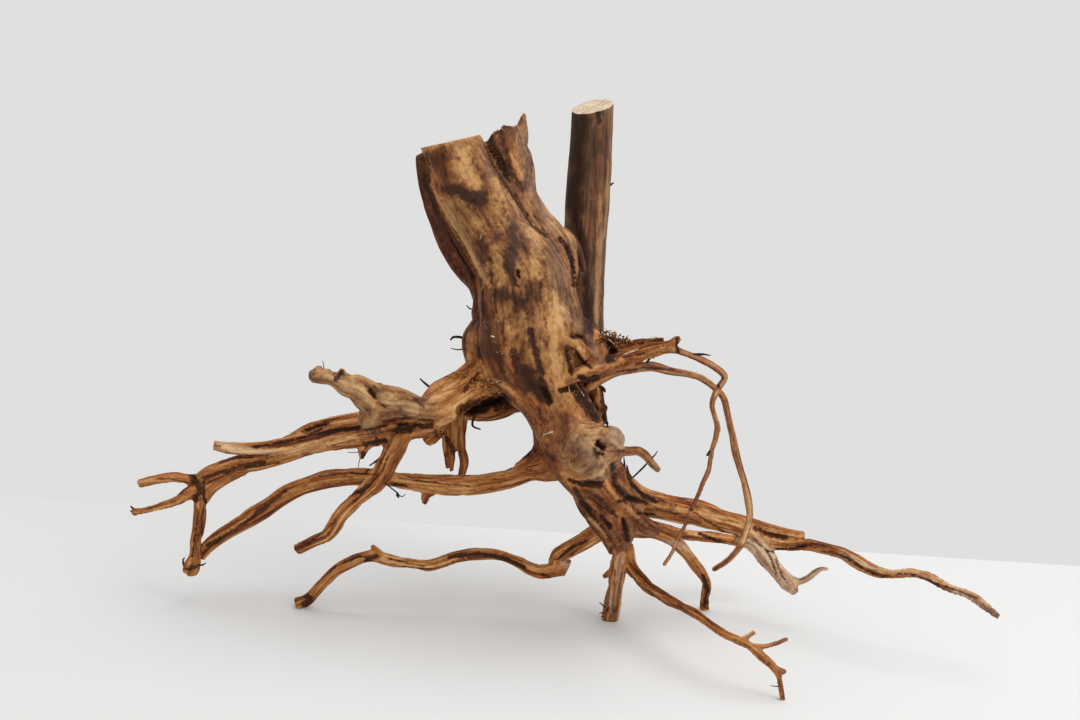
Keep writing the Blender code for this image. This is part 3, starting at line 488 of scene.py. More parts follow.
# Marks seen from the front: a tint and its strength, the height raised or carved in
# millimetres, half the mark's width, and the line it follows across and up.
STEM_MARKS = [
    # Inside the hollow at the front stem's left: the carved dark line paints the hollow's shade over its
    # own red-brown.
    ("dark", 0.75, -2.4, 5.0, (-113, 238), (-112, 226), (-107, 211), (-99, 196), (-90, 184)),
    ("red", 1.0, 0, 7.5, (-114, 238), (-112, 226), (-108, 213), (-100, 198), (-90, 184)),
    ("tan", 0.5, 0, 2.2, (-107, 202), (-100, 189), (-92, 181), (-87, 175)),
    ("dark", 1.0, -1.6, 1.3, (-113, 232), (-109, 221), (-102, 207), (-96, 197), (-90, 189), (-84, 180)),
    ("tan", 0.8, 1.0, 1.8, (-112, 236), (-108, 225), (-100, 212), (-94, 202), (-88, 194), (-81, 184),
     (-76, 177)),
    ("tan", 0.7, 0, 1.3, (-115, 244.4), (-100, 249.6), (-85, 254.6)),
    ("dark", 0.6, 0, 7, (-108, 241), (-103, 235), (-99, 229)),
    ("red", 0.9, 0, 10, (-108, 240), (-101, 228)),
    ("tan", 0.8, 0, 6, (-93, 244), (-90, 236), (-87, 229)),
    ("tan", 0.3, 0, 2.0, (-104, 240), (-102, 238)),
    ("dark", 0.8, 0, 5.4, (-99, 226), (-91, 223), (-82, 221)),
    ("tan", 0.5, 0, 2.8, (-106, 231), (-100, 229), (-95, 230)),
    ("tan", 0.4, 0, 2.5, (-101, 219), (-92, 219)),
    ("dark", 0.35, 0, 6, (-95, 213), (-89, 207), (-84, 199), (-80, 192)),
    ("red", 0.4, 0, 5, (-90, 214), (-84, 200)),
    ("tan", 0.5, 0, 5.5, (-75, 231), (-72, 220), (-70, 209)),
    ("dark", 0.35, 0, 1.2, (-77, 219), (-74, 217), (-72, 219), (-71, 223)),
    ("tan", 0.5, 0, 4, (-83, 211), (-78, 203)),
    ("grey", 0.25, 0.3, 4.5, (-82, 247), (-77, 236), (-67, 222), (-60, 211), (-53, 200)),
    ("dark", 0.6, 0, 5.0, (-66, 212), (-64, 200), (-66, 189), (-64, 180)),
    ("grey", 0.3, 0, 5, (-66, 212), (-64, 200), (-65, 188)),
    ("tan", 0.75, 0, 4.5, (-74, 197), (-71, 185), (-68, 177)),
    ("dark", 1.0, -1.6, 1.1, (-62, 186), (-61, 182.5)),
    ("dark", 0.8, -0.5, 0.6, (-63.4, 189), (-64.4, 184), (-62.5, 179), (-60, 177)),
    ("tan", 0.7, 0, 5, (-54, 208), (-53, 195), (-52, 184)),
    ("grey", 0.3, 0, 6.5, (-46, 206), (-42, 193), (-39, 179), (-35, 164)),
    ("dark", 0.45, 0, 6, (-47, 204), (-42, 186), (-35, 172)),
    ("dark", 0.5, 0, 3, (-29, 168), (-24, 158), (-19, 148)),
    ("tan", 0.9, 0.3, 4.6, (-42, 173), (-39, 163), (-36, 153)),
    ("tan", 0.5, 0, 3.5, (-57, 164), (-55, 155)),
    ("tan", 0.5, 0, 3.5, (-48, 169), (-47, 159)),
    ("dark", 0.45, 0, 4, (-52, 178), (-50, 171)),
    ("dark", 0.75, 0, 6.5, (-70, 173), (-64, 172), (-60, 170)),
    ("dark", 0.6, -0.9, 0.7, (-55, 215), (-47, 205), (-41, 197), (-36, 189)),
    ("red", 0.7, -0.7, 0.8, (-51, 213), (-44, 204), (-38, 195)),
    ("dark", 0.9, -1.3, 1.5, (-81.5, 249), (-78, 240), (-72.6, 232), (-66, 224), (-56, 210), (-48, 205)),
    ("dark", 0.95, -1.2, 3.4, (-81, 254), (-77, 246), (-73, 239), (-70, 233)),
    ("red", 1.0, -0.6, 3.8, (-75, 259), (-71, 250), (-69, 243), (-65, 233)),
    ("red", 0.9, 0, 3.0, (-67, 257), (-63, 263)),
    ("dark", 0.6, -0.5, 2.4, (-75, 256), (-72, 247), (-68, 238), (-62, 228)),
    ("tan", 1.0, 0.5, 2.0, (-69.5, 245), (-66, 239), (-63, 233)),
    ("grey", 0.6, 0, 5.5, (-63, 257), (-60, 245), (-57, 232), (-50, 219), (-45, 211)),
    ("dark", 1.0, -2.0, 1.6, (-41, 204), (-37, 200), (-34, 193), (-32.5, 186), (-32, 180)),
    ("tan", 0.7, 0, 2.0, (-21.5, 226), (-20.5, 205), (-19.5, 180), (-18.5, 152)),
    ("red", 0.8, 0, 4, (-23, 262), (-23, 240), (-24, 215), (-25, 190)),
    # A pale line down the straight stem's right edge: painted highlight.
    ("tan", 0.6, 0, 1.6, (-18, 258), (-18, 240), (-18, 205)),
    ("dark", 0.9, -0.6, 2.0, (-26, 269), (-24.5, 265)),
    ("dark", 0.5, -0.3, 1.0, (-20, 245), (-23, 239)),
    # These two dark marks on the straight stem's left side are painted shade.
    ("dark", 0.95, 0, 7.5, (-35, 270), (-34, 240), (-35, 220)),
    ("dark", 1.0, 0, 4.0, (-33, 215), (-28.5, 200), (-26, 185), (-24, 168), (-22, 158)),
    ("tan", 1.0, 0, 1.3, (-37, 207), (-31.5, 201.5), (-28.6, 194), (-27.4, 187)),
    ("dark", 0.7, -0.4, 1.2, (-30, 272), (-24, 274)),
]

CROWN_MARKS = [
    ("red", 0.8, 0, 9, (-80, 172), (-77, 155), (-72, 135)),
    ("red", 0.7, 0, 8, (-66, 152), (-62, 135), (-56, 118)),
    ("dark", 0.45, 0, 7, (-77, 160), (-72, 145), (-68, 130)),
    ("red", 1.0, 0.4, 2.4, (-86, 180), (-84.5, 170), (-83.5, 162)),
    ("dark", 0.8, -0.9, 0.9, (-84.5, 182), (-82.4, 172), (-82, 163)),
    ("dark", 0.7, -0.7, 0.9, (-80, 180), (-78.5, 168), (-78, 158)),
    ("tan", 0.5, 0.3, 2.2, (-85, 150), (-84, 143), (-84, 138)),
    ("tan", 0.6, 0, 2.6, (-66, 157), (-63, 152)),
    ("tan", 0.5, 0, 2.4, (-66, 144), (-63, 137)),
    ("tan", 0.6, 0, 3.0, (-78, 135), (-73, 131)),
    ("dark", 0.5, -0.8, 1.6, (-71, 152), (-69, 140), (-67, 128)),
    ("dark", 0.7, -0.4, 5.5, (-60, 140), (-57, 131), (-53, 124)),
    ("dark", 0.85, -0.6, 6.5, (-55, 133), (-51, 126), (-45, 122)),
    ("dark", 0.8, -0.8, 2.4, (-53, 154), (-50.5, 146), (-47, 136), (-45, 128)),
    ("dark", 0.6, 0, 9, (-80, 165), (-77, 155), (-74, 142)),
    ("red", 0.8, 0, 10, (-48, 116), (-42, 108), (-38, 96)),
    ("dark", 1.0, -2.5, 2.6, (-43.5, 123), (-41, 118)),
    ("tan", 0.8, 0.9, 1.8, (-46.5, 131), (-43, 129.5), (-40, 125)),
    ("red", 0.8, 0, 1.6, (-45, 129), (-42, 126)),
    ("tan", 0.9, 0.4, 4.4, (-42, 160), (-40, 146), (-37, 134), (-35.5, 124)),
    ("tan", 0.9, 1.4, 3.2, (-33.5, 151), (-29, 148.5), (-24.5, 143)),
    ("dark", 1.0, -2.0, 1.7, (-31, 153.5), (-26.5, 153)),
    ("dark", 0.8, -1.2, 1.5, (-33.5, 145), (-31, 138), (-30, 133)),
    ("dark", 0.8, -1.2, 1.2, (-29, 146), (-24, 140), (-20, 137)),
    ("grey", 0.4, 0.9, 2.4, (-29, 162), (-23, 153), (-18.5, 146), (-15, 140)),
    ("dark", 1.0, -2.0, 3.0, (-14, 152), (-9, 147), (-11, 142)),
    ("tan", 0.8, 1.0, 2.4, (-28, 133), (-22, 136.5), (-14, 138), (-4, 142)),
    ("dark", 0.9, -1.6, 2.0, (-26, 132), (-21, 130), (-17, 132)),
    ("dark", 1.0, -2.2, 2.0, (-35, 124), (-28, 126), (-22, 129)),
    ("dark", 1.0, -2.6, 4.6, (-25, 122), (-20, 117), (-15, 111)),
    ("red", 0.7, -0.4, 1.3, (-20, 124), (-17, 112)),
    ("tan", 0.5, 0.8, 1.7, (-16.5, 126), (-15, 117), (-12.5, 108)),
    ("dark", 0.9, 0, 1.3, (-12.5, 122), (-10, 106)),
    ("red", 1.0, 0, 10, (-46, 112), (-42, 98), (-38, 86)),
    ("dark", 0.5, -0.4, 4.0, (-46, 112), (-43, 106)),
    ("dark", 0.45, -0.4, 2.6, (-32, 110), (-31, 104), (-32, 97)),
    ("dark", 0.55, -0.5, 2.2, (-41, 90), (-37, 87)),
    ("red", 0.8, 1.6, 4.5, (-31, 106), (-31, 95), (-29, 84)),
    ("tan", 0.5, 0, 3.0, (-33, 90), (-28, 83)),
    ("red", 1.0, 0, 3.6, (-30, 93), (-25, 86)),
    ("tan", 0.6, 1.0, 3.0, (-24, 104), (-27, 99)),
    ("tan", 0.6, 0.6, 2.6, (-30, 121), (-27, 114), (-24, 108)),
    ("tan", 0.9, 0.5, 5.0, (-20, 106), (-15, 105)),
    ("red", 0.4, 0, 5.0, (-20, 106), (-15, 105)),
    ("grey", 0.45, 0.4, 8.0, (-20, 97), (-16, 89), (-13, 85)),
    ("dark", 1.0, -3.4, 2.0, (-14, 97), (-10.5, 94.5)),
    ("dark", 0.6, -1.0, 1.6, (-15, 93), (-14, 89)),
    ("dark", 0.9, -1.6, 1.3, (-13.5, 91.5), (-10.5, 91)),
    ("grey", 1.0, 0, 4.0, (-5, 104), (-1, 100)),
    ("grey", 0.8, 0.6, 2.0, (-8, 98), (-1, 96)),
    ("red", 0.9, 0, 2.6, (1, 93), (8, 95), (14, 91)),
    ("dark", 0.6, -0.3, 1.0, (2, 95.5), (9, 96.5), (14, 93)),
    ("dark", 0.6, -0.4, 1.2, (-7, 93), (0, 93.5)),
    ("tan", 1.0, 1.0, 1.2, (-32, 79.5), (-24, 76.6), (-16, 77.8), (-10, 82)),
    ("tan", 0.5, 0, 3.5, (-28, 81), (-21, 81)),
    ("dark", 0.9, -1.4, 1.5, (-27, 76), (-20, 73.6), (-12, 75.5)),
]

ROOT_MARKS = [
    ("red", 0.9, 0, 6, (-20, 72), (-10, 62), (0, 52)),
    ("dark", 0.8, -1.0, 2.0, (-24, 71), (-20, 65), (-15, 60)),
    ("dark", 0.9, -0.8, 2.4, (-17, 75), (-11, 74.5)),
    ("tan", 0.8, 0.7, 1.5, (-10, 80), (-5, 71), (3, 64), (10, 58)),
    ("tan", 0.6, 0.6, 1.3, (-20, 70), (-11, 65), (-3, 58)),
    ("tan", 0.7, 0.6, 1.4, (-16, 56), (-10, 51), (-5, 46)),
    ("dark", 1.0, -2.2, 1.8, (-8.5, 56.5), (-4, 51.5)),
    ("dark", 0.8, -0.9, 0.9, (-17, 68), (-8, 62), (0, 57)),
    ("dark", 0.8, -0.9, 0.9, (-21, 64), (-13, 57), (-7, 50), (-3, 44)),
    ("red", 1.0, -0.6, 3.0, (2, 61), (3, 53), (2, 45)),
    ("dark", 1.0, -1.8, 1.8, (3, 56), (5, 49), (6, 45)),
    ("dark", 1.0, -1.2, 2.2, (-5, 85), (-3, 75), (3, 69), (9, 67)),
    ("dark", 1.0, -1.0, 1.6, (3, 84), (6, 76), (13, 70), (20, 67)),
    ("dark", 0.9, -1.0, 1.4, (0, 66), (8, 68), (14, 66)),
    ("dark", 0.6, 0, 1.4, (-2, 40), (-4, 28), (-4.5, 18)),
    ("tan", 1.0, 0, 3.8, (3, 36), (3, 22), (1, 6)),
    ("grey", 0.6, 0, 3.5, (3, 34), (3, 20), (0, 8)),
    ("dark", 0.7, -0.9, 1.8, (-2, 6), (2, 5)),
    ("grey", 0.6, 0, 4.0, (-2, 8), (3, 2)),
    ("red", 0.7, 0, 3.5, (18, 67), (32, 67), (42, 63)),
    ("dark", 0.9, -0.6, 1.1, (10, 60), (19, 60)),
    ("dark", 0.8, -0.7, 0.8, (38, 64), (48, 58), (57, 53)),
    ("dark", 0.7, -0.7, 0.7, (20, 63), (32, 61), (44, 57)),
    ("dark", 1.0, -1.0, 1.2, (44, 51), (54, 47.5), (62, 44)),
    ("grey", 0.8, 0, 2.4, (30, 45), (45, 45), (56, 42)),
    ("tan", 0.7, 0.3, 2.0, (38, 52), (54, 50), (70, 48)),
    ("tan", 0.8, 0, 3.0, (20, 66), (40, 62), (60, 59), (76, 54)),
    ("tan", 0.6, 0, 2.4, (24, 45), (40, 42), (52, 32)),
    ("dark", 0.9, -0.5, 1.7, (73, 56), (82, 53), (90, 52)),
    ("tan", 0.7, 0, 2.4, (80, 49), (90, 51), (98, 52)),
    ("dark", 1.0, -1.3, 1.0, (86, 45), (94, 46), (101, 48)),
    ("dark", 0.9, -1.0, 1.0, (81, 44), (88, 43)),
    ("dark", 0.8, -1.0, 0.7, (80, 45), (84, 39), (87, 31)),
    ("dark", 0.8, -0.8, 0.7, (86, 40), (90, 31), (93, 27)),
    ("dark", 0.7, -0.8, 0.7, (72, 51), (78, 46)),
    ("dark", 0.8, -0.6, 0.8, (104, 50), (112, 49)),
    ("dark", 0.9, -0.8, 0.9, (118, 45), (126, 42), (134, 37), (146, 33)),
    ("dark", 0.9, -0.8, 0.8, (152, 36), (162, 36), (172, 32), (184, 29), (196, 25)),
    ("grey", 0.9, 0, 2.6, (184, 29), (196, 23), (208, 17)),
    ("dark", 0.6, 0, 2.0, (192, 26), (201, 20), (208, 16)),
    ("dark", 0.9, -0.5, 1.6, (48, 28), (51, 20), (50, 10)),
    ("tan", 1.0, 0, 6.0, (72, 51), (80, 45), (88, 36), (96, 28)),
    ("tan", 0.8, 0, 2.4, (104, 32), (112, 33), (120, 37)),
    ("tan", 0.7, 0, 2.6, (120, 45), (140, 38), (160, 37), (180, 32), (200, 22)),
    ("grey", 0.5, 0, 3.0, (120, 45), (140, 38), (160, 37), (180, 32)),
    ("dark", 0.6, 0, 4.0, (-20, 70), (-12, 66), (-4, 60)),
    ("dark", 1.0, -0.8, 1.4, (26, 141), (24, 152), (24, 157)),
    ("dark", 0.8, -0.6, 0.8, (-6, 136), (8, 139), (24, 139)),
    ("dark", 0.7, -0.6, 0.6, (-6, 149), (10, 153), (17, 155)),
    ("dark", 0.9, -0.6, 1.0, (46, 134), (48, 131)),
    ("dark", 0.5, -0.4, 0.5, (-4, 144), (10, 147), (20, 148)),
]

LEFT_MARKS = [
    # These three dark carved marks paint the deep shadow on the hollow root's upper part under the
    # shoulder.
    ("dark", 1.0, -3.0, 3.4, (-86, 111), (-80, 113), (-73, 116), (-66, 119)),
    ("dark", 1.0, -2.4, 4.4, (-80, 112), (-70, 115), (-63, 116)),
    ("dark", 1.0, -1.2, 2.2, (-88, 109), (-82, 109), (-74, 111)),
    ("tan", 0.6, 0.3, 1.1, (-85, 106), (-75, 105.6), (-66, 108), (-60, 112)),
    ("dark", 1.0, -2.6, 1.9, (-119, 99.5), (-109, 100), (-102, 100.5)),
    ("dark", 1.0, -1.8, 2.4, (-121, 97), (-113, 98)),
    ("grey", 0.3, 0, 9, (-160, 127), (-140, 116), (-124, 112), (-108, 108)),
    ("tan", 0.7, 0.8, 2.8, (-163, 127), (-152, 121), (-141, 118), (-134, 111), (-132, 105), (-135, 100)),
    ("tan", 0.6, 1.0, 3.0, (-148, 123), (-138, 123), (-130, 119)),
    ("tan", 0.6, 1.0, 3.5, (-128, 116), (-119, 115), (-110, 109)),
    ("dark", 0.9, -2.2, 1.5, (-135.5, 117.5), (-132.5, 114)),
    ("red", 0.8, -0.6, 1.6, (-141, 122), (-136, 119.5)),
    ("tan", 0.7, 0, 5, (-150, 121), (-142, 119), (-128, 113), (-112, 107)),
    ("dark", 0.45, -1.2, 1.6, (-131, 113), (-127, 109)),
    ("dark", 0.9, -0.5, 1.8, (-151, 126), (-154, 122)),
    ("dark", 0.5, -0.4, 3.5, (-121, 109), (-117, 106)),
    ("red", 0.6, -0.5, 2.0, (-130, 103), (-123, 106), (-119, 102)),
    ("dark", 0.6, -0.6, 0.8, (-116, 104), (-108, 103.5), (-100, 103)),
    ("tan", 0.8, 0.6, 1.6, (-108, 101), (-98, 101), (-91, 105), (-90, 111)),
    ("tan", 0.6, 0.4, 2.2, (-106, 111), (-99, 118), (-93, 124)),
    ("dark", 0.5, -0.9, 1.0, (-112, 115), (-106, 110)),
    ("tan", 0.7, 1.0, 3.5, (-80, 123), (-74, 121), (-69, 121)),
    ("dark", 0.7, -0.9, 1.4, (-86, 120), (-82, 126), (-79, 130)),
    ("tan", 0.6, 0.7, 1.8, (-78, 129), (-72, 128), (-64, 124), (-58, 120)),
    ("dark", 0.8, -1.0, 0.9, (-82, 127), (-74, 125)),
    ("dark", 0.5, 0, 3.0, (-96, 128), (-91, 132), (-86, 135)),
    ("dark", 1.0, -1.6, 2.4, (-168, 93), (-162, 95), (-158, 98)),
    ("dark", 0.9, -1.6, 1.1, (-196, 82.5), (-180, 86.5), (-166, 91), (-152, 95), (-140, 97)),
    ("dark", 0.6, -0.6, 0.8, (-172, 87), (-160, 90), (-150, 95)),
    ("grey", 0.6, 0, 3.0, (-216, 82), (-200, 81), (-186, 80)),
    ("tan", 1.0, 0.5, 2.6, (-212, 81), (-195, 80), (-175, 82), (-158, 87), (-142, 91)),
    ("dark", 0.9, -0.9, 0.8, (-146, 95), (-136, 96), (-126, 99)),
    ("dark", 0.7, -0.7, 0.7, (-142, 92), (-130, 95), (-121, 97)),
    ("dark", 0.9, -0.6, 2.0, (-137, 88), (-131, 90), (-126, 91)),
    ("dark", 0.9, 0, 1.6, (-138, 84), (-137, 79)),
    ("dark", 0.9, -0.9, 1.1, (-214, 74), (-204, 77), (-196, 77.5)),
    ("dark", 0.9, -0.8, 1.2, (-222, 64), (-212, 68), (-202, 72), (-190, 75)),
    ("red", 0.6, 0, 2.4, (-220, 66), (-205, 73), (-190, 76)),
    ("dark", 0.8, -0.6, 0.7, (-220, 61), (-208, 68), (-196, 72), (-182, 75)),
    ("dark", 1.0, -1.2, 3.0, (-228, 64), (-224, 58), (-226, 52)),
    ("dark", 0.9, -0.7, 1.0, (-222, 62), (-222, 54), (-219, 47)),
    ("dark", 0.8, -0.8, 0.7, (-225, 46), (-225.5, 35), (-227, 20)),
    ("dark", 0.7, -0.6, 0.6, (-222, 46), (-222, 34), (-223, 18)),
    ("dark", 0.8, -0.6, 1.6, (-230, 13), (-226, 14), (-223, 15)),
    ("red", 0.6, 0, 2.0, (-252, 63), (-240, 65), (-230, 63)),
    ("dark", 0.7, -0.5, 0.6, (-248, 62), (-238, 62), (-229, 61)),
    ("dark", 0.8, -0.5, 1.4, (-219, 27), (-205, 36), (-192, 47), (-178, 60)),
    ("red", 0.8, 0, 2.0, (-186, 54), (-176, 64), (-160, 68)),
    ("dark", 0.7, -0.5, 0.6, (-160, 69), (-145, 72), (-130, 72)),
    ("dark", 0.8, -0.5, 0.7, (-118, 71), (-100, 69.5), (-80, 69)),
    ("dark", 0.9, -0.7, 1.3, (-121, 67), (-114, 66.5)),
    ("red", 0.5, 0, 1.8, (-110, 71), (-90, 71), (-70, 72), (-52, 77)),
    ("dark", 0.9, -0.8, 1.0, (-131, 92), (-129, 84), (-133, 78), (-136, 72)),
    ("red", 0.8, 0, 2.0, (-128, 86), (-130, 78), (-133, 72)),
    ("dark", 0.7, -0.6, 0.7, (-124, 84), (-127, 74), (-133, 66), (-141, 57)),
    ("dark", 1.0, -0.8, 1.4, (-134, 66), (-139, 62), (-144, 60)),
    ("dark", 0.6, -0.5, 0.6, (-152, 44), (-160, 36), (-166, 30)),
    ("dark", 0.8, -0.7, 2.0, (-96, 97), (-92, 92), (-89, 86)),
    ("dark", 0.7, -0.6, 1.5, (-100, 98), (-97, 92)),
    ("dark", 0.9, -0.8, 2.0, (-133, 24), (-128, 27)),
    ("dark", 0.8, -0.6, 0.9, (-146, 22), (-138, 26), (-126, 27)),
    ("dark", 0.8, -0.6, 0.6, (-122, 26), (-110, 24), (-102, 23)),
    ("dark", 0.7, -0.6, 0.6, (-120, 23), (-108, 21), (-98, 22)),
    ("dark", 0.9, -0.6, 1.4, (-88, 29), (-72, 32), (-58, 30), (-48, 26)),
    ("dark", 0.9, -0.6, 1.0, (-39, 23), (-34, 21), (-30, 22)),
    ("red", 0.7, 0, 2.0, (-46, 24), (-38, 22), (-28, 25)),
    ("grey", 0.8, 0, 2.6, (-27, 30), (-23, 25)),
    ("dark", 0.8, -0.5, 2.6, (-167, 4), (-163, 0), (-166, -3)),
    ("dark", 0.6, -0.5, 0.9, (-164, 6), (-157, 13), (-150, 20)),
    ("dark", 0.7, -0.8, 0.8, (-16, 43), (-24, 38), (-32, 31)),
    ("dark", 0.6, -0.5, 0.6, (-10, 45), (-20, 38), (-28, 31)),
]

MARKS = STEM_MARKS + CROWN_MARKS + ROOT_MARKS + LEFT_MARKS

# How far a mark's edge wanders, as a share of its half width, how much of its height counts,
# and where its tint starts and stops to fade. A line narrower than this fades later.
MARK_WANDER = 0.45
MARK_DEPTH = 1.25
BROAD_FADE = 0.15
NARROW_FADE = 0.45
FADED = 1.25
NARROW = 3
TINTS = ("dark", "red", "tan", "grey")

# A point counts as facing the front view from the first to the second of these, and looks
# for what hides it from this many millimetres off.
FACING = (-0.05, 0.25)
CLEAR = 1.5

# Fine dark roots and splinters: across, up, distance in front, and thickness.
HAIRS = [
    [(-84, 146.6, 10, 1.6), (-89, 148.8, 10, 1.4), (-93.2, 148.6, 10, 1.2), (-94.4, 147, 10, 0.8)],
    [(-85, 143.6, 10, 0.8), (-90, 142.2, 10, 0.6), (-94.2, 142.7, 10, 0.4)],
    [(-82, 163.8, 2, 0.8), (-85.6, 164.4, 2, 0.6), (-87, 166, 2, 0.4)],
    [(-98, 118, 22, 2.2), (-103, 120.6, 24, 1.8), (-106.5, 123, 24, 1.5), (-109.5, 125.5, 24, 0.8)],
    [(-160, 126, 65, 0.6), (-160.6, 130.5, 66, 0.4), (-161.4, 131.6, 66, 0.3)],
    [(-164, 126, 65, 0.5), (-164.4, 128.6, 66, 0.3)],
    [(-139, 84, 25, 0.6), (-142, 83.3, 25, 0.5), (-146, 83.2, 25, 0.4)],
    [(-138.6, 82, 25, 0.6), (-139.6, 78, 25, 0.4), (-139.8, 75, 25, 0.3)],
    [(-134, 76.6, 28, 0.6), (-130, 79.6, 29, 1.4), (-126, 83, 29, 2.4)],
    [(-126, 68.4, 29, 1.0), (-122, 65.3, 30, 0.8), (-118, 62.4, 30, 0.8)],
    [(-118.4, 63, 30, 0.9), (-118.2, 61.3, 30, 1.7), (-117.4, 60.2, 30, 0.9)],
    [(-118.6, 62.6, 30, 0.6), (-116, 60.8, 30, 0.6), (-113.8, 62.4, 30, 0.4)],
    [(-79.4, 108, -10, 1.6), (-80.5, 104, -9, 1.4), (-80, 101.6, -9, 1.3), (-76, 100.2, -9, 0.9)],
    [(-15.5, 128, 8, 1.4), (-12.8, 126.4, 8, 1.6), (-11.6, 124.6, 8, 0.8)],
    [(-14, 127, 8, 1.0), (-13, 124.4, 8, 0.9), (-12.6, 122.6, 8, 0.5)],
    [(-11, 110, 0, 1.6), (-9.4, 108, 0, 1.6), (-9.2, 105.6, 0, 0.8)],
    [(-12, 118, -1, 1.2), (-10.4, 116.6, -1, 1.2), (-10.4, 114.6, -1, 0.6)],
    [(14.6, 89.6, 87, 0.9), (17, 92.4, 88, 0.8), (18.4, 94.8, 88, 0.4)],
    [(4.6, 77.6, 22, 1.3), (8.6, 82, 27, 1.0), (12, 86, 33, 0.9), (13.8, 88.6, 37, 0.5)],
    [(0, 80, 34, 1.6), (1.4, 85, 33, 1.2), (0.8, 90, 33, 0.6)],
    [(3, 74, 30, 2.0), (4, 80, 28, 1.4), (2.6, 86, 27, 0.7)],
    [(-39, 78.6, 24, 1.0), (-35, 76.6, 25, 0.8), (-31.6, 76, 26, 0.5)],
    [(-37, 78.6, 24, 0.8), (-33, 77.8, 25, 0.6), (-31, 76.4, 26, 0.4)],
    [(-3, 6.4, 3, 0.9), (-5, 8, 3, 0.7), (-6.6, 9.1, 3, 0.4)],
    [(-3.4, 3, 3, 0.8), (-5, 3.4, 3, 0.6), (-6.2, 2.8, 3, 0.4)],
    [(-3, 1.4, 3, 0.9), (-5, 1.2, 3, 0.6)],
    [(-229.6, 12, 19, 1.3), (-231.6, 15, 19, 1.1), (-231.9, 18, 19, 0.9), (-231, 19.2, 19, 0.5)],
    [(-225, 15.8, 19, 1.3), (-221.8, 15.5, 19, 1.0), (-219.6, 17, 19, 0.5)],
    [(-229, 15, 19, 0.9), (-227.4, 17, 19, 0.8), (-225.4, 17, 19, 0.6)],
    [(-228, 10, 19, 1.4), (-230.6, 11, 19, 1.0), (-232, 13, 19, 0.5)],
    [(-257, 43, 21, 1.8), (-260, 45, 21, 1.0), (-260.8, 46, 21, 0.5)],
    [(-258, 42.6, 21, 1.8), (-261, 43.2, 21, 0.8)],
    [(46.6, 97, 20, 2.4), (45.2, 95, 20, 1.8), (44.6, 94, 20, 1.2)],
    [(95.8, -31.4, 97, 0.9), (92.6, -32, 97, 0.7), (89.6, -31.8, 97, 0.4)],
    [(33, 147.6, 18, 2.2), (38, 148.2, 18, 1.2), (42, 147.8, 18, 0.5)],
    [(9, 142, 10, 1.2), (11, 144.6, 11, 1.0), (12.6, 144.4, 11, 0.6)],
    [(-19, 231, -40, 1.4), (-16.8, 233, -40, 1.2), (-15, 234.4, -40, 0.5)],
    [(-57.6, 115.6, 14, 1.6), (-56.6, 112.4, 14, 1.2), (-57.2, 111, 14, 0.6)],
]

# Pale straws on the wood: thickness, then the line.
STRAWS = [
    (0.8, (-42.6, 99.6), (-40, 100.6), (-37.4, 101.6)),
    (0.7, (-27, 122), (-22, 125.4), (-17, 128)),
    (0.7, (-30, 133), (-27, 127.6), (-22.6, 121.8)),
    (0.5, (-32, 131), (-31, 126), (-30, 122)),
    (0.6, (-72, 125.4), (-69, 126.4), (-66, 127.4)),
    (0.8, (-73.4, 150.6), (-71.6, 150.2)),
    (0.5, (-82, 201), (-81.4, 203.6)),
    (0.6, (-16, 156.6), (-12, 153), (-8, 150)),
    (0.6, (-8, 142.5), (-2, 146), (4, 148.6)),
    (0.4, (-43, 86.6), (-41.4, 83.4)),
]

# Heaps of crumbs: how many, least and greatest size, how far they rise, half width, line.
DARK_CRUMBS = [
    (110, 0.7, 2.0, 3.0, 3.4, (-16, 152), (-9, 153), (-2, 152)),
    (110, 0.5, 1.2, 0.0, 3.2, (-80, 252), (-76, 244), (-71, 234)),
    (40, 0.6, 1.4, 0.5, 1.6, (-77, 256), (-73, 258.6), (-67, 259)),
    (30, 0.6, 1.6, 0.5, 2.4, (-76, 122), (-70, 120), (-66, 121)),
    (40, 0.5, 1.2, 0.0, 3.0, (-24, 120), (-18, 114)),
    (24, 0.5, 1.3, 0.4, 1.6, (-15, 127), (-11, 120), (-10, 106)),
    (30, 0.4, 1.0, 0.0, 4.0, (-46, 110), (-42, 92)),
    (24, 0.5, 1.2, 0.0, 2.4, (-4, 78), (6, 70)),
    (22, 0.5, 1.1, 0.3, 2.4, (-229, 13), (-224, 14)),
    (22, 0.4, 1.0, 0.2, 2.4, (-118, 244), (-112, 240)),
    (16, 0.4, 0.9, 0.2, 2.6, (-2, 5), (3, 4)),
    (20, 0.4, 0.9, 0.2, 3.0, (-94, 126), (-86, 128)),
]
OCHRE_CRUMBS = [
    (110, 0.6, 1.8, 3.6, 3.2, (-14, 153), (-6, 154), (2, 153)),
    (240, 0.8, 2.2, 1.6, 3.0, (-79, 124), (-75, 121.5), (-70, 121)),
    (90, 0.6, 1.5, 0.8, 2.2, (-95, 126.5), (-89, 128.5), (-84, 129)),
    (30, 0.4, 0.9, 0.0, 3.0, (-79, 248), (-73, 236)),
    (20, 0.5, 1.2, 0.6, 2.0, (8, 145), (14, 146)),
    (20, 0.4, 1.0, 0.0, 4.0, (-44, 110), (-40, 95)),
    (14, 0.4, 0.9, 0.2, 1.6, (-258, 43), (-254, 44)),
    (24, 0.5, 1.2, 0.8, 1.4, (8, 154), (17, 156)),
]
PALE_CRUMBS = [
    (60, 0.25, 0.6, 0.0, 6.0, (-46, 110), (-40, 88)),
    (30, 0.25, 0.6, 0.0, 8.0, (-76, 156), (-66, 140)),
    (14, 0.3, 0.7, 0.0, 3.0, (-14, 150), (-4, 150)),
    (16, 0.25, 0.5, 0.0, 10.0, (-96, 215), (-66, 190)),
]
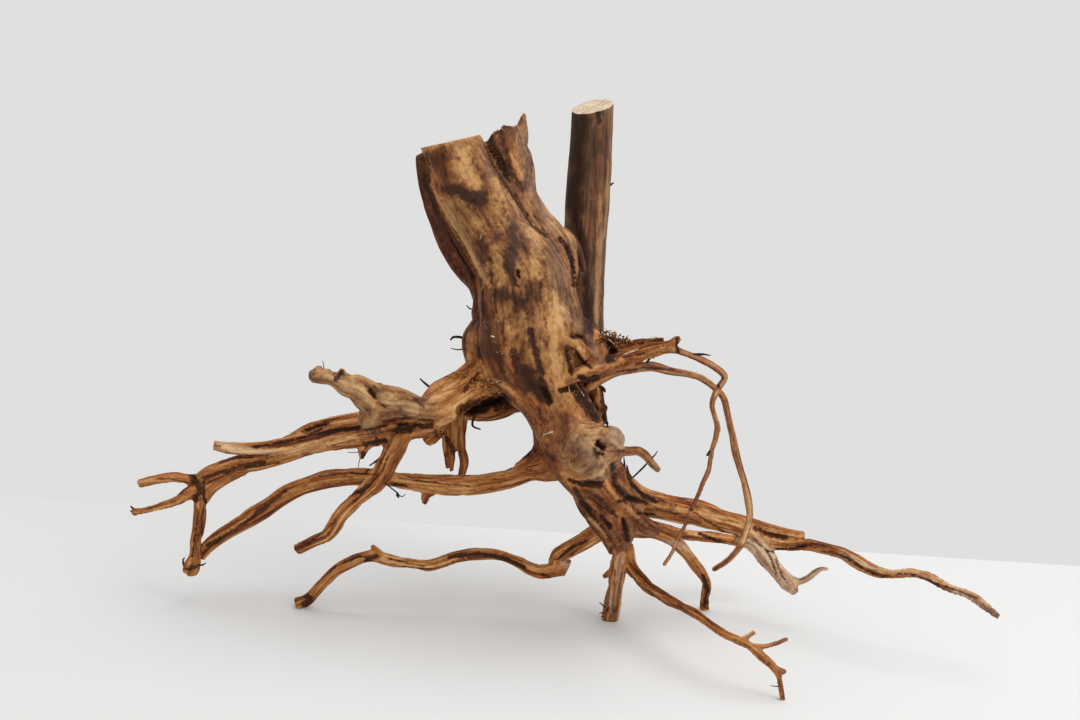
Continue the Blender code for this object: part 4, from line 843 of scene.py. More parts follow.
CRUMBS = {
    "dark": (DARK_CRUMBS, (0.030, 0.015, 0.008), (0.22, 0.11, 0.05)),
    "ochre": (OCHRE_CRUMBS, (0.20, 0.07, 0.02), (0.62, 0.30, 0.09)),
    "pale": (PALE_CRUMBS, (0.45, 0.33, 0.22), (0.80, 0.72, 0.60)),
}
HAIR_COLORS = ((0.012, 0.008, 0.007), (0.07, 0.035, 0.022))
STRAW_COLORS = ((0.34, 0.22, 0.11), (0.70, 0.58, 0.40))


# Each route with its depth as a share of its thickness, the number and height of its ridges,
# and the kind of surface it has.
TRUNK_ROUTES = [
    (FRONT_STEM, 0.9, 5, 0.035, "bark"),
    (HOLLOW_LIP, 1.2, 3, 0.04, "hollow"),
    (BACK_RIB, 0.9, 3, 0.04, "bark"),
    (BROKEN_STEM, 0.95, 4, 0.05, "broken"),
    (STRAIGHT_STEM, 0.95, 3, 0.02, "straight"),
    (LEFT_SWELLING, 1.1, 5, 0.05, "crown"),
    (RIGHT_SWELLING, 1.1, 5, 0.06, "crown"),
    (SHOULDER, 0.8, 6, 0.06, "root"),
    (CROWN_WEB, 0.9, 3, 0.04, "crown"),
    (FRONT_KNOB, 1.0, 5, 0.05, "knob"),
    (PRUNED_STUB, 1.0, 3, 0.01, "straight"),
]

ROOT_ROUTES = [
    (BROKEN_SPIKE, 0.6, 3, 0.05, "broken"),
    (NEAR_BRANCH, 0.75, 4, 0.08, "grey"),
    (NEAR_BRANCH_BUMP, 1.0, 3, 0.05, "grey"),
    (NEAR_BRANCH_ROOT, 1.1, 4, 0.08, "grey"),
    (SAWN_BRANCH, 0.9, 4, 0.08, "root"),
    (UPPER_STRAND, 0.8, 4, 0.08, "root"),
    (LEFT_ROOT, 0.95, 4, 0.09, "root"),
    (LEFT_ROOT_WEB, 0.8, 3, 0.06, "root"),
    (LEFT_ROOT_THORN, 0.8, 3, 0.06, "root"),
    (LEFT_UPPER_FORK, 0.9, 3, 0.08, "root"),
    (LEFT_LOWER_FORK, 0.9, 3, 0.08, "root"),
    (DROPPING_BRANCH, 0.8, 4, 0.08, "root"),
    (LONG_LEFT_ROOT, 0.95, 4, 0.08, "root"),
    (LONG_LEFT_STUB, 0.9, 3, 0.06, "root"),
    (HOLLOW_ROOT, 0.7, 4, 0.07, "root"),
    (HANGING_ROOT_RIGHT, 0.9, 3, 0.08, "root"),
    (HANGING_ROOT_LEFT, 0.9, 3, 0.08, "root"),
    (HANGING_ROOT_MIDDLE, 0.9, 3, 0.06, "root"),
    (HANGING_STUB, 0.9, 4, 0.06, "root"),
    (KNOB_EAR, 1.0, 3, 0.05, "knob"),
    (KNOB_HOOK, 1.0, 3, 0.06, "knob"),
    (UPPER_RIGHT_ROOT, 0.85, 4, 0.09, "root"),
    (DEAD_STRIP, 0.8, 3, 0.08, "crown"),
    (OUTER_THIN_ROOT, 1.0, 3, 0.06, "thin"),
    (INNER_THIN_ROOT, 1.0, 3, 0.06, "thin"),
    (SHORT_RIGHT_ROOT, 0.9, 3, 0.08, "root"),
    (LONG_RIGHT_ROOT, 0.85, 4, 0.08, "root"),
    (SAWN_STRAND, 0.9, 3, 0.06, "root"),
    (SPLIT_ROOT, 0.6, 4, 0.09, "split"),
    (SPLIT_ROOT_HOOK, 0.9, 3, 0.06, "split"),
    (BACK_RIGHT_ROOT, 0.95, 4, 0.08, "root"),
    (RIGHT_PROP_ROOT, 0.95, 4, 0.08, "root"),
    (FRONT_PROP_ROOT, 0.95, 4, 0.08, "root"),
    (FRONT_PROP_TWIG, 1.0, 3, 0.05, "thin"),
    (FRONT_PROP_SPUR, 1.0, 3, 0.05, "thin"),
    (FRONT_PROP_THORN, 1.0, 3, 0.05, "thin"),
    (TAP_ROOT, 0.9, 5, 0.08, "root"),
    (TAP_ROOT_THORN, 1.0, 3, 0.05, "root"),
    (LEFT_PROP_START, 0.95, 4, 0.08, "root"),
    (LEFT_PROP_ROOT, 1.0, 4, 0.08, "root"),
    (LEFT_PROP_THORN, 1.0, 3, 0.05, "root"),
    (BACK_STUB, 0.9, 5, 0.07, "root"),
    (LOWER_BACK_STUB, 0.9, 4, 0.07, "root"),
    (STUB_RIM, 1.8, 3, 0.03, "rim"),
    (ROOT_COLLAR, 0.9, 4, 0.08, "crown"),
    (SWIRL_FOLD, 0.9, 4, 0.08, "crown"),
    (CROWN_RIDGE_LEFT, 0.9, 4, 0.08, "crown"),
    (CROWN_RIDGE_MIDDLE, 0.9, 4, 0.08, "crown"),
    (CROWN_RIDGE_RIGHT, 0.9, 4, 0.08, "crown"),
]

# What each kind of surface is like: height of its flutes as a share of the radius, height of
# its fine grooves and of its lumps in millimetres, then how smooth the bark is, how grey, how
# dark and how red, from 0 to 1.
KINDS = {
    "bark": (0.010, 0.12, 0.6, 1.0, 0.0, 0.0, 0.20),
    # The hollow kind's dark darkens the inside of the hollow: painted shade.
    "hollow": (0.030, 0.20, 0.4, 0.4, 0.0, 0.75, 0.5),
    "broken": (0.015, 0.20, 0.5, 0.9, 0.15, 0.15, 0.4),
    "straight": (0.010, 0.15, 0.30, 0.9, 0.25, 0.50, 0.0),
    "crown": (0.050, 0.25, 0.8, 0.62, 0.0, 0.20, 0.7),
    "knob": (0.010, 0.06, 0.6, 0.8, 0.15, 0.0, 0.1),
    "root": (0.150, 0.40, 0.4, 0.0, 0.05, 0.0, 0.25),
    "grey": (0.060, 0.15, 1.2, 0.55, 0.20, 0.0, 0.10),
    "thin": (0.080, 0.12, 0.2, 0.1, 0.3, 0.15, 0.2),
    "rim": (0.0, 0.05, 0.2, 0.6, 0.35, 0.0, 0.0),
    "split": (0.060, 0.35, 0.5, 0.3, 0.9, 0.0, 0.0),
}

# The bark's own turn to red and loss of dark near the crown, by height in millimetres, and how
# far that height wavers. Bark is smoother than this.
CROWN_RED = (118, 165)
CROWN_DARK = (75, 130)
CROWN_WAVER = 14
BARK_SMOOTH = 0.85

# The block under the floor line that is taken off: half length, half width and depth.
FLOOR_BLOCK = (400, 200, 30)
BOX_FACES = ((0, 1, 2, 3), (4, 5, 6, 7), (0, 1, 5, 4), (1, 2, 6, 5), (2, 3, 7, 6), (3, 0, 4, 7))

# Spacing of the points on a saw cut, and the height of the marks that the saw left.
CUT_GRID = 1.3
SAW_MARK = 0.07


def shortening(forward):
    """The share of a sight line that is left when it stops this far in front of the plane."""
    return (-EYE[1] - forward) / -EYE[1]


def placed(across, up, forward):
    """The point in millimetres, and the share by which its sight line is shortened."""
    share = shortening(forward)
    return EYE + (np.array([across, 0.0, up]) - EYE) * share, share


def on_plane(points):
    """Where each point's sight line meets the upright plane through the origin: across and up."""
    reach = EYE[1] / (EYE[1] - points[:, 1])
    return EYE[[0, 2]] + (points[:, [0, 2]] - EYE[[0, 2]]) * reach[:, None]


def stations(route, least=LEAST_THICKNESS):
    """Centre and thickness at even steps along a smooth line through a route's points."""
    knots = []
    for across, up, forward, thickness in route:
        point, share = placed(across, up, forward)
        knots.append([*point, max(thickness * share, least)])
    knots = np.array(knots)
    ends = np.vstack([2 * knots[0] - knots[1], knots, 2 * knots[-1] - knots[-2]])
    rows = []
    for i in range(1, len(ends) - 2):
        a, b, c, d = ends[i - 1 : i + 3]
        count = max(2, round(np.linalg.norm(c[:3] - b[:3]) / RING_STEP))
        for t in np.arange(count) / count:
            bend = (2 * a - 5 * b + 4 * c - d) * t + (3 * b - a - 3 * c + d) * t * t
            rows.append(b + 0.5 * t * ((c - a) + bend))
    rows.append(ends[-2])
    rows = np.array(rows)
    return rows[:, :3], rows[:, 3]


def frames(centres):
    """Side and back directions across the line, kept steady from one station to the next."""
    along = np.gradient(centres, axis=0)
    along /= np.linalg.norm(along, axis=1, keepdims=True)
    back = np.array([0.0, 1.0, 0.0])
    if abs(along[0, 1]) > 0.8:
        back = np.array([0.0, 0.0, 1.0])
    sides, backs = [], []
    for step in along:
        side = np.cross(step, back)
        side /= np.linalg.norm(side)
        back = np.cross(side, step)
        sides.append(side)
        backs.append(back)
    return along, np.array(sides), np.array(backs)


def add_tube(shells, route, depth, ridges, height, points, gnarl, chance, least=LEAST_THICKNESS):
    """Adds one closed, ridged tube along a route, with a domed tip at both ends."""
    centres, thickness = stations(route, least)
    along, sides, backs = frames(centres)
    angles = np.linspace(0, 2 * math.pi, points, endpoint=False)
    phase = chance.uniform(0, 2 * math.pi, 3)
    length = np.arange(len(centres))[:, None] * RING_STEP
    wander = np.sin(length / LONG_WAVE + phase[0]) + 0.6 * np.sin(length / SHORT_WAVE + phase[1])
    twist = length * TWIST
    swell = 1 + gnarl * wander + height * np.sin(ridges * angles + phase[2] + twist)
    swell += 0.5 * height * np.sin((ridges + 2) * angles - phase[0] - twist)
    radius = swell * thickness[:, None] / 2
    rings = centres[:, None] + sides[:, None] * (radius * np.cos(angles))[..., None]
    rings += backs[:, None] * (radius * depth * np.sin(angles))[..., None]
    first = len(shells["points"])
    shells["points"].extend(rings.reshape(-1, 3))
    for i in range(len(centres) - 1):
        low = first + i * points
        for j in range(points):
            k = (j + 1) % points
            shells["faces"].append((low + j, low + k, low + points + k, low + points + j))
    for end, outward in ((0, -1), (len(centres) - 1, 1)):
        tip = centres[end] + outward * along[end] * thickness[end] * TIP_BULGE
        shells["points"].append(tip)
        peak = len(shells["points"]) - 1
        ring = first + end * points
        for j in range(points):
            edge = (ring + j, ring + (j + 1) % points)
            shells["faces"].append((*edge[::outward], peak))


def mesh_of(shells, name):
    """The shells as one mesh whose faces all look outward."""
    mesh = bpy.data.meshes.new(name)
    mesh.from_pydata((np.array(shells["points"]) * MM).tolist(), [], shells["faces"])
    shaped = bmesh.new()
    shaped.from_mesh(mesh)
    bmesh.ops.recalc_face_normals(shaped, faces=shaped.faces)
    shaped.to_mesh(mesh)
    shaped.free()
    return mesh


def shell_mesh():
    """All the tubes as overlapping closed shells in one mesh."""
    chance = np.random.default_rng(SHAPE_SEED)
    shells = {"points": [], "faces": []}
    for route, depth, ridges, height, _ in TRUNK_ROUTES:
        add_tube(shells, route, depth, ridges, height, TRUNK_POINTS, TRUNK_GNARL, chance)
    for route, depth, ridges, height, _ in ROOT_ROUTES:
        add_tube(shells, route, depth, ridges, height, ROOT_POINTS, ROOT_GNARL, chance)
    return mesh_of(shells, "shells")


def noise(points, seed):
    """Smooth noise from about -1 to 1, with one bump to a unit."""
    corner = np.floor(points).astype(np.int64)
    part = points - corner
    soft = part * part * part * (part * (part * 6 - 15) + 10)
    total = np.zeros(len(points))
    for step in np.ndindex(2, 2, 2):
        cell = (corner + step).astype(np.uint32)
        key = cell[:, 0] * CELL_SCATTER[0] ^ cell[:, 1] * CELL_SCATTER[1]
        key = key ^ cell[:, 2] * CELL_SCATTER[2] ^ np.uint32(seed * SEED_SCATTER + 97)
        key = (key ^ (key >> np.uint32(15))) * BIT_SCATTER[0]
        key = (key ^ (key >> np.uint32(13))) * BIT_SCATTER[1]
        key = key ^ (key >> np.uint32(16))
        tilt = np.stack([(key >> np.uint32(move)) & np.uint32(1023) for move in (0, 10, 20)], 1)
        slope = tilt / 511.5 - 1
        weight = np.abs(1 - np.array(step) - soft).prod(1)
        total += weight * (slope * (part - step)).sum(1)
    return total * 1.6


def smooth_step(low, high, values):
    """From 0 at the low value to 1 at the high one, with soft ends."""
    share = np.clip((values - low) / (high - low), 0, 1)
    return share * share * (3 - 2 * share)


def limbs():
    """Each route's stations with what the grain needs: directions, radii and length so far."""
    found = []
    for route, depth, _, _, kind in TRUNK_ROUTES + ROOT_ROUTES:
        centres, thickness = stations(route)
        along, sides, backs = frames(centres)
        steps = np.linalg.norm(np.diff(centres, axis=0), axis=1)
        found.append(
            {
                "centres": centres,
                "radius": thickness / 2,
                "depth": depth,
                "along": along,
                "sides": sides,
                "backs": backs,
                "length": np.concatenate([[0], np.cumsum(steps)]),
                "kind": KINDS[kind],
            }
        )
    return found


def limb_reach(points, found):
    """For each point and limb: how many radii off its middle line, and the place in its grain."""
    reach = np.full((len(points), len(found)), OUT_OF_REACH, np.float32)
    grain = np.zeros((len(points), len(found), 3), np.float32)
    for column, limb in enumerate(found):
        margin = limb["radius"].max() * LIMB_MARGIN
        low = limb["centres"].min(0) - margin
        high = limb["centres"].max(0) + margin
        inside = np.flatnonzero(((points > low) & (points < high)).all(1))
        for some in np.array_split(inside, len(inside) // BATCH + 1):
            gap = points[some][:, None] - limb["centres"][None]
            far = (gap * gap).sum(2) / limb["radius"] ** 2
            best = far.argmin(1)
            gap = gap[np.arange(len(some)), best]
            side = (gap * limb["sides"][best]).sum(1)
            back = (gap * limb["backs"][best]).sum(1)
            ahead = (gap * limb["along"][best]).sum(1)
            radius = limb["radius"][best]
            reach[some, column] = np.sqrt(side**2 + (back / limb["depth"]) ** 2 + ahead**2) / radius
            grain[some, column] = np.stack([side, back, limb["length"][best] + ahead], 1)
            grain[some, column, 2] += GRAIN_START * column
    return reach, grain


def second_share(lead):
    """How much of the second limb shows where the nearest one leads by this many radii."""
    return 0.5 * (1 - smooth_step(0, BLEND_WIDTH, lead))


def two_limbs(reach):
    """The nearest and the next nearest limb, and the share of the second."""
    rows = np.arange(len(reach))
    first = reach.argmin(1)
    rest = reach.copy()
    rest[rows, first] = np.inf
    second = rest.argmin(1)
    return first, second, second_share(rest[rows, second] - reach[rows, first])


def relief(points, grain, radius, kind, seed):
    """Height in millimetres of flutes, fine grooves and lumps, and how deep in the grooves it is, which
    the wood is darkened by as painted shade.
    """
    flute, fine, lump = kind[:, 0], kind[:, 1], kind[:, 2]
    size = np.maximum(np.hypot(grain[:, 0], grain[:, 1]), 0.1)
    around = grain[:, :2] / size[:, None]
    coarse = noise(np.column_stack([around * 1.5, grain[:, 2] / FLUTE_LENGTH]), seed)
    turn = around * radius[:, None] / GROOVE_WIDTH
    narrow = noise(np.column_stack([turn, grain[:, 2] / GROOVE_LENGTH]), seed + 1)
    rough = noise(points / LUMP, seed + 2) + 0.5 * noise(points / SMALL_LUMP, seed + 3)
    carve = np.clip(1 - np.abs(coarse) * 2.2, 0, 1) ** 2
    cut = np.clip(1 - np.abs(narrow) * 2.6, 0, 1) ** 3
    height = flute * radius * (0.5 - 1.5 * carve) - fine * 1.6 * cut + lump * 0.5 * rough
    return height, 0.6 * carve * (flute > SMOOTH_FLUTE) + 0.7 * cut


def surface_facts(points, found):
    """Relief, the depth in the grooves that is painted as shade, and the blend of kinds at each point."""
    reach, grain = limb_reach(points, found)
    first, second, share = two_limbs(reach)
    rows = np.arange(len(points))
    kinds = np.array([limb["kind"] for limb in found])
    sizes = np.array([limb["radius"].mean() for limb in found])
    height = np.zeros(len(points))
    groove_shade = np.zeros(len(points))
    blend = np.zeros((len(points), kinds.shape[1]))
    for chosen, part in ((first, 1 - share), (second, share)):
        local = grain[rows, chosen]
        made, deep = relief(points, local, sizes[chosen], kinds[chosen], RELIEF_SEED)
        height += part * made
        groove_shade += part * deep
        blend += part[:, None] * kinds[chosen]
    return height, groove_shade, blend


def line_gap(spots, line):
    """The least distance from each spot to a broken line."""
    best = np.full(len(spots), np.inf)
    for start, end in zip(line, line[1:]):
        start = np.array(start, float)
        step = np.array(end, float) - start
        share = np.clip((spots - start) @ step / (step @ step), 0, 1)
        gap = spots - start - share[:, None] * step
        best = np.minimum(best, np.hypot(gap[:, 0], gap[:, 1]))
    return best


def marked(points, shows):
    """The height and the tints that the marks give to the points that show from the front."""
    height = np.zeros(len(points))
    tints = {name: np.zeros(len(points)) for name in TINTS}
    spots = on_plane(points)
    front = np.flatnonzero(shows > 0)
    for number, (tint, strength, raised, half, *line) in enumerate(MARKS):
        low = np.min(line, 0) - 1.5 * half
        high = np.max(line, 0) + 1.5 * half
        near = front[((spots[front] > low) & (spots[front] < high)).all(1)]
        if not len(near):
            continue
        seed = MARK_SEED + number
        gap = line_gap(spots[near], line) / half
        gap += MARK_WANDER * noise(points[near] / max(half * 0.9, 1.6), seed)
        gap += 0.5 * MARK_WANDER * noise(points[near] / max(half * 0.3, 0.9), seed + 1)
        height[near] += MARK_DEPTH * raised * shows[near] * np.clip(1 - gap * gap, 0, 1) ** 1.5
        edge = NARROW_FADE if half < NARROW else BROAD_FADE
        cover = strength * shows[near] * (1 - smooth_step(edge, FADED, gap))
        tints[tint][near] = np.maximum(tints[tint][near], cover)
    return height, tints


def tree_of(mesh, points):
    """The mesh's faces, ready to be met by sight lines."""
    return BVHTree.FromPolygons(points.tolist(), [face.vertices[:] for face in mesh.polygons])


def shows_from_front(mesh, points):
    """How squarely each point faces the front view, from 0 to 1: 0 where something hides it."""
    tree = tree_of(mesh, points)
    toward = EYE - points
    toward /= np.linalg.norm(toward, axis=1, keepdims=True)
    shows = smooth_step(*FACING, (toward * mesh_normals(mesh)).sum(1))
    for i in np.flatnonzero(shows > 0):
        if tree.ray_cast(points[i] + toward[i] * CLEAR, toward[i])[0] is not None:
            shows[i] = 0
    return shows


def vectors_of(items, field):
    """One row of three numbers for each item."""
    values = np.empty(len(items) * 3, np.float32)
    items.foreach_get(field, values)
    return values.reshape(-1, 3).astype(np.float64)


def mesh_points(mesh):
    """The mesh's points in millimetres."""
    return vectors_of(mesh.vertices, "co") / MM


def mesh_normals(mesh):
    """The way that each point faces."""
    return vectors_of(mesh.vertex_normals, "vector")


def linked(name, data):
    """A new object in the scene."""
    thing = bpy.data.objects.new(name, data)
    bpy.context.scene.collection.objects.link(thing)
    return thing


def settled(thing, name):
    """A new mesh with the object's modifiers applied."""
    bpy.context.view_layer.update()
    graph = bpy.context.evaluated_depsgraph_get()
    mesh = bpy.data.meshes.new_from_object(thing.evaluated_get(graph))
    mesh.name = name
    return mesh


def cut_sides(outward):
    """Two directions that lie in a cut face."""
    side = np.cross(outward, [0.0, 1.0, 0.0])
    side /= np.linalg.norm(side)
    return side, np.cross(outward, side)


def add_block(shells, centre, outward, half, depth, seed):
    """Adds a block that reaches outward from a cut, its near face marked by the saw."""
    outward = np.array(outward) / np.linalg.norm(outward)
    side, back = cut_sides(outward)
    count = max(4, round(2 * half / CUT_GRID))
    line = np.linspace(-half, half, count + 1)
    s, t = (grid.ravel() for grid in np.meshgrid(line, line))
    flat = centre + s[:, None] * side + t[:, None] * back
    width, slant, length = SAW_LINE
    marks = noise(np.column_stack([s / width + t / slant, t / length, s * 0]), seed)
    waves = noise(flat / SAW_WAVE, seed + 1)
    near = flat + outward * (SAW_MARK * (marks + 1.5 * waves))[:, None]
    first = len(shells["points"])
    wide = count + 1
    shells["points"].extend(near)
    shells["points"].extend(flat + outward * depth)
    for layer in (0, wide * wide):
        for i in range(count):
            for j in range(count):
                corner = first + layer + i * wide + j
                shells["faces"].append((corner, corner + 1, corner + wide + 1, corner + wide))
    rim = [*range(wide)] + [i * wide + count for i in range(1, wide)]
    rim += [count * wide + j for j in range(count - 1, -1, -1)]
    rim += [i * wide for i in range(count - 1, 0, -1)]
    for a, b in zip(rim, rim[1:] + rim[:1], strict=True):
        far = first + wide * wide
        shells["faces"].append((first + a, first + b, far + b, far + a))


def cutter():
    """The blocks that the saw cuts and the floor take off the wood."""
    shells = {"points": [], "faces": []}
    for i, (spot, outward, half, depth) in enumerate(SAW_CUTS):
        point, _ = placed(*spot)
        add_block(shells, point, outward, half, depth, SAW_SEED + 2 * i)
    long, wide, deep = FLOOR_BLOCK
    base = ((-long, -wide), (long, -wide), (long, wide), (-long, wide))
    corners = [(x, y, z) for z in (-deep, 0) for x, y in base]
    first = len(shells["points"])
    shells["points"].extend(np.array(corners, float))
    for face in BOX_FACES:
        shells["faces"].append([first + i for i in face])
    return linked("cutter", mesh_of(shells, "cutter"))


def fused_skin(found):
    """The tubes fused in one skin, with the relief raised on it."""
    rough = linked("rough", shell_mesh())
    fused = rough.modifiers.new("fused", "REMESH")
    fused.mode = "VOXEL"
    fused.voxel_size = SKIN_GRID
    soft = rough.modifiers.new("soft", "SMOOTH")
    soft.iterations = SKIN_SMOOTHING
    mesh = settled(rough, "skin")
    bpy.data.objects.remove(rough)
    points = mesh_points(mesh)
    height, _, _ = surface_facts(points, found)
    height += marked(points, shows_from_front(mesh, points))[0]
    points += mesh_normals(mesh) * height[:, None]
    mesh.vertices.foreach_set("co", (points * MM).astype(np.float32).ravel())
    mesh.update()
    return mesh


def triangle_count(mesh):
    """How many triangles the mesh's faces make."""
    return sum(len(face.vertices) - 2 for face in mesh.polygons)


def cut_skin(mesh, wood, sawn):
    """The skin with fewer faces and its saw cuts made."""
    whole = linked("whole", mesh)
    blocks = cutter()
    mesh.materials.clear()
    for material in (wood, sawn):
        mesh.materials.append(material)
        blocks.data.materials.append(material)
    for face in blocks.data.polygons:
        face.material_index = 1
    fewer = whole.modifiers.new("fewer", "DECIMATE")
    fewer.ratio = min(1.0, SKIN_TRIANGLES / triangle_count(mesh))
    cuts = whole.modifiers.new("cuts", "BOOLEAN")
    cuts.operation = "DIFFERENCE"
    cuts.solver = "EXACT"
    cuts.object = blocks
    done = settled(whole, "dry_root_wood")
    print("skin triangles", triangle_count(mesh), "kept", triangle_count(done))
    for thing in (whole, blocks):
        bpy.data.objects.remove(thing)
    return done


class Nodes:
    """A material with short calls for the nodes that the wood is made of."""

    def __init__(self, name, roughness):
        self.material = bpy.data.materials.new(name)
        self.material.use_nodes = True
        self.tree = self.material.node_tree
        self.surface = self.tree.nodes["Principled BSDF"]
        self.surface.inputs["Roughness"].default_value = roughness
        self.surface.inputs["Specular IOR Level"].default_value = SPECULAR

    def add(self, kind, inputs, **settings):
        """A new node, with each input joined to another node's result or set to a value."""
        node = self.tree.nodes.new("ShaderNode" + kind)
        for name, value in settings.items():
            setattr(node, name, value)
        for socket, value in inputs.items():
            if isinstance(value, bpy.types.NodeSocket):
                self.tree.links.new(value, node.inputs[socket])
            else:
                node.inputs[socket].default_value = value
        return node

    def value(self, name):
        """A number that the surface carries."""
        return self.add("Attribute", {}, attribute_name=name).outputs["Fac"]

    def vector(self, name):
        """A place that the surface carries."""
        return self.add("Attribute", {}, attribute_name=name).outputs["Vector"]

    def stretched(self, vector, across, along):
        """The place in a pattern whose marks are this many millimetres wide and long."""
        size = (1 / across, 1 / across, 1 / along)
        return self.add("Mapping", {"Vector": vector, "Scale": size}).outputs["Vector"]

    def noise(self, vector, detail, bend=0.0):
        """Soft noise from 0 to 1."""
        inputs = {"Vector": vector, "Scale": 1.0, "Detail": detail, "Roughness": 0.55, "Distortion": bend}
        return self.add("TexNoise", inputs).outputs["Fac"]

    def math(self, operation, first, second=0.0, third=0.0):
        """The result of one sum."""
        return self.add("Math", {0: first, 1: second, 2: third}, operation=operation).outputs[0]

    def clamped(self, value, low, high, low_out=0.0, high_out=1.0):
        """A number moved softly from one span into another."""
        inputs = {0: value, 1: low, 2: high, 3: low_out, 4: high_out}
        return self.add("MapRange", inputs, interpolation_type="SMOOTHSTEP").outputs[0]

    def layered(self, base, *layers):
        """The base plus each layer of (value, its middle, its weight)."""
        for value, middle, weight in layers:
            base = self.math("ADD", base, self.math("MULTIPLY_ADD", value, weight, -middle * weight))
        return base

    def broken_up(self, share, *layers):
        """A soft patch given a ragged edge by the noise layers."""
        ragged = self.clamped(self.layered(share, *layers), 0.28, 0.76)
        ragged = self.math("MULTIPLY", ragged, self.clamped(share, 0.0, 0.6))
        return self.math("ADD", self.math("MULTIPLY", share, 0.45), self.math("MULTIPLY", ragged, 0.5))

    def blend(self, share, first, second):
        """Between two numbers."""
        return self.add("Mix", {0: share, 2: first, 3: second}, data_type="FLOAT").outputs[0]

    def tint(self, share, first, second, mode="MIX"):
        """Between two colours."""
        first = (*first, 1) if isinstance(first, tuple) else first
        second = (*second, 1) if isinstance(second, tuple) else second
        node = self.add("Mix", {0: share, 6: first, 7: second}, data_type="RGBA", blend_type=mode)
        return node.outputs[2]

    def ramp(self, value, stops):
        """The colour for a number, from stops of (number, colour)."""
        node = self.add("ValToRGB", {"Fac": value})
        edges = node.color_ramp.elements
        while len(edges) < len(stops):
            edges.new(0.5)
        for edge, (place, color) in zip(edges, stops, strict=True):
            edge.position = place
            edge.color = (*color, 1)
        return node.outputs["Color"]

    def grain(self, size, detail, bend=0.0):
        """A pattern drawn out along the grain of the nearest limb, blended into the next one's."""
        both = []
        for name in ("grain_a", "grain_b"):
            place = self.stretched(self.vector(name), *size)
            both.append(self.noise(place, detail, bend))
        return self.blend(self.value("grain_share"), *both)

    def bumps(self, *layers):
        """Bumps from (height, depth in millimetres) pairs, one on another."""
        normal = None
        for height, depth in layers:
            inputs = {"Height": height, "Distance": depth * MM, "Strength": 1.0}
            if normal is not None:
                inputs["Normal"] = normal
            normal = self.add("Bump", inputs).outputs["Normal"]
        self.tree.links.new(normal, self.surface.inputs["Normal"])

    def finish(self, color):
        """The material with this colour."""
        self.tree.links.new(color, self.surface.inputs["Base Color"])
        return self.material


def bare_color(wood, lift, streaks, fibres, cloud, fine):
    """Fibrous wood without bark."""
    layers = ((streaks, 0.5, 1.35), (fibres, 0.5, 0.55), (cloud, 0.5, 0.35), (fine, 0.5, 0.30))
    stops = [(0.10, DARK), (0.28, RED_BROWN), (0.42, BROWN), (0.56, ORANGE), (0.74, TAN), (0.95, PALE)]
    return wood.ramp(wood.math("ADD", wood.layered(lift, *layers), 0.60), stops)


def bark_color(wood, lift, blots, fine, streaks, cloud):
    """Smooth, blotched bark."""
    layers = ((blots, 0.5, 0.62), (fine, 0.5, 0.42), (streaks, 0.5, 0.22), (cloud, 0.5, 0.35))
    stops = [(0.18, DARK), (0.34, BARK_DARK), (0.47, BARK_BROWN), (0.60, BARK_OCHRE), (0.80, BARK_TAN)]
    return wood.ramp(wood.math("ADD", wood.layered(lift, *layers), 0.56), stops)


def tinted(wood, color, fine, pits, dark, red, grey):
    """The colour turned red, faded or darkened where the wood is, with its dark pores."""
    reddened = wood.tint(0.85, color, (1.0, 0.52, 0.34), "MULTIPLY")
    red = wood.math("MULTIPLY", red, wood.clamped(fine, 0.3, 0.7, 0.55, 1.0))
    color = wood.tint(red, color, reddened)
    faded = wood.add("HueSaturation", {"Color": color, "Saturation": 0.70, "Value": 1.0}).outputs[0]
    faded = wood.tint(0.20, faded, GREY_TAN)
    color = wood.tint(grey, color, faded)
    deepest = wood.tint(wood.clamped(dark, 0.75, 1.0), BARK_DARK, DARK)
    color = wood.tint(wood.clamped(dark, 0.36, 1.05, 0.0, 0.85), color, deepest)
    pore = wood.clamped(pits, 0.66, 0.76)
    return wood.tint(wood.math("MULTIPLY", pore, 0.6), color, DARK)


def root_wood():
    """Fibrous wood and smooth blotched bark in one, told apart by the surface's own values."""
    wood = Nodes("root_wood", 0.60)
    spot = wood.add("TexCoord", {}).outputs["Object"]
    spot = wood.add("VectorMath", {0: spot, 3: 1000.0}, operation="SCALE").outputs[0]
    streaks = wood.grain(STREAKS, 3, 0.5)
    fibres = wood.grain(FIBRES, 3)
    blots = wood.grain(BLOTS, 3, 0.8)
    cloud = wood.noise(wood.stretched(spot, *CLOUD), 2, 0.4)
    fine = wood.noise(wood.stretched(spot, *FINE), 4, 0.2)
    pits = wood.noise(wood.stretched(spot, *PITS), 2)
    tan, dark, red, grey = (wood.value(name) for name in ("tan", "dark", "red", "grey"))
    dark = wood.broken_up(dark, (blots, 0.5, 0.8), (fine, 0.5, 0.9))
    tan = wood.broken_up(tan, (blots, 0.5, -0.8), (fine, 0.5, 0.9))
    # Tan marks lift the tone and dark marks lower it, some of those being painted shade; the grooves are
    # darkened by their depth as painted shade.
    lift = wood.layered(0.0, (tan, 0.0, 0.24), (dark, 0.0, -0.34), (wood.value("groove_shade"), 0.0, -0.24))
    bare = bare_color(wood, lift, streaks, fibres, cloud, fine)
    bark = bark_color(wood, lift, blots, fine, streaks, cloud)
    smooth = wood.layered(wood.value("smooth"), (fine, 0.5, 0.6))
    color = wood.tint(wood.clamped(smooth, 0.35, 0.65), bare, bark)
    wood.bumps((fibres, 0.35), (fine, 0.3), (pits, 0.12))
    return wood.finish(tinted(wood, color, fine, pits, dark, red, grey))


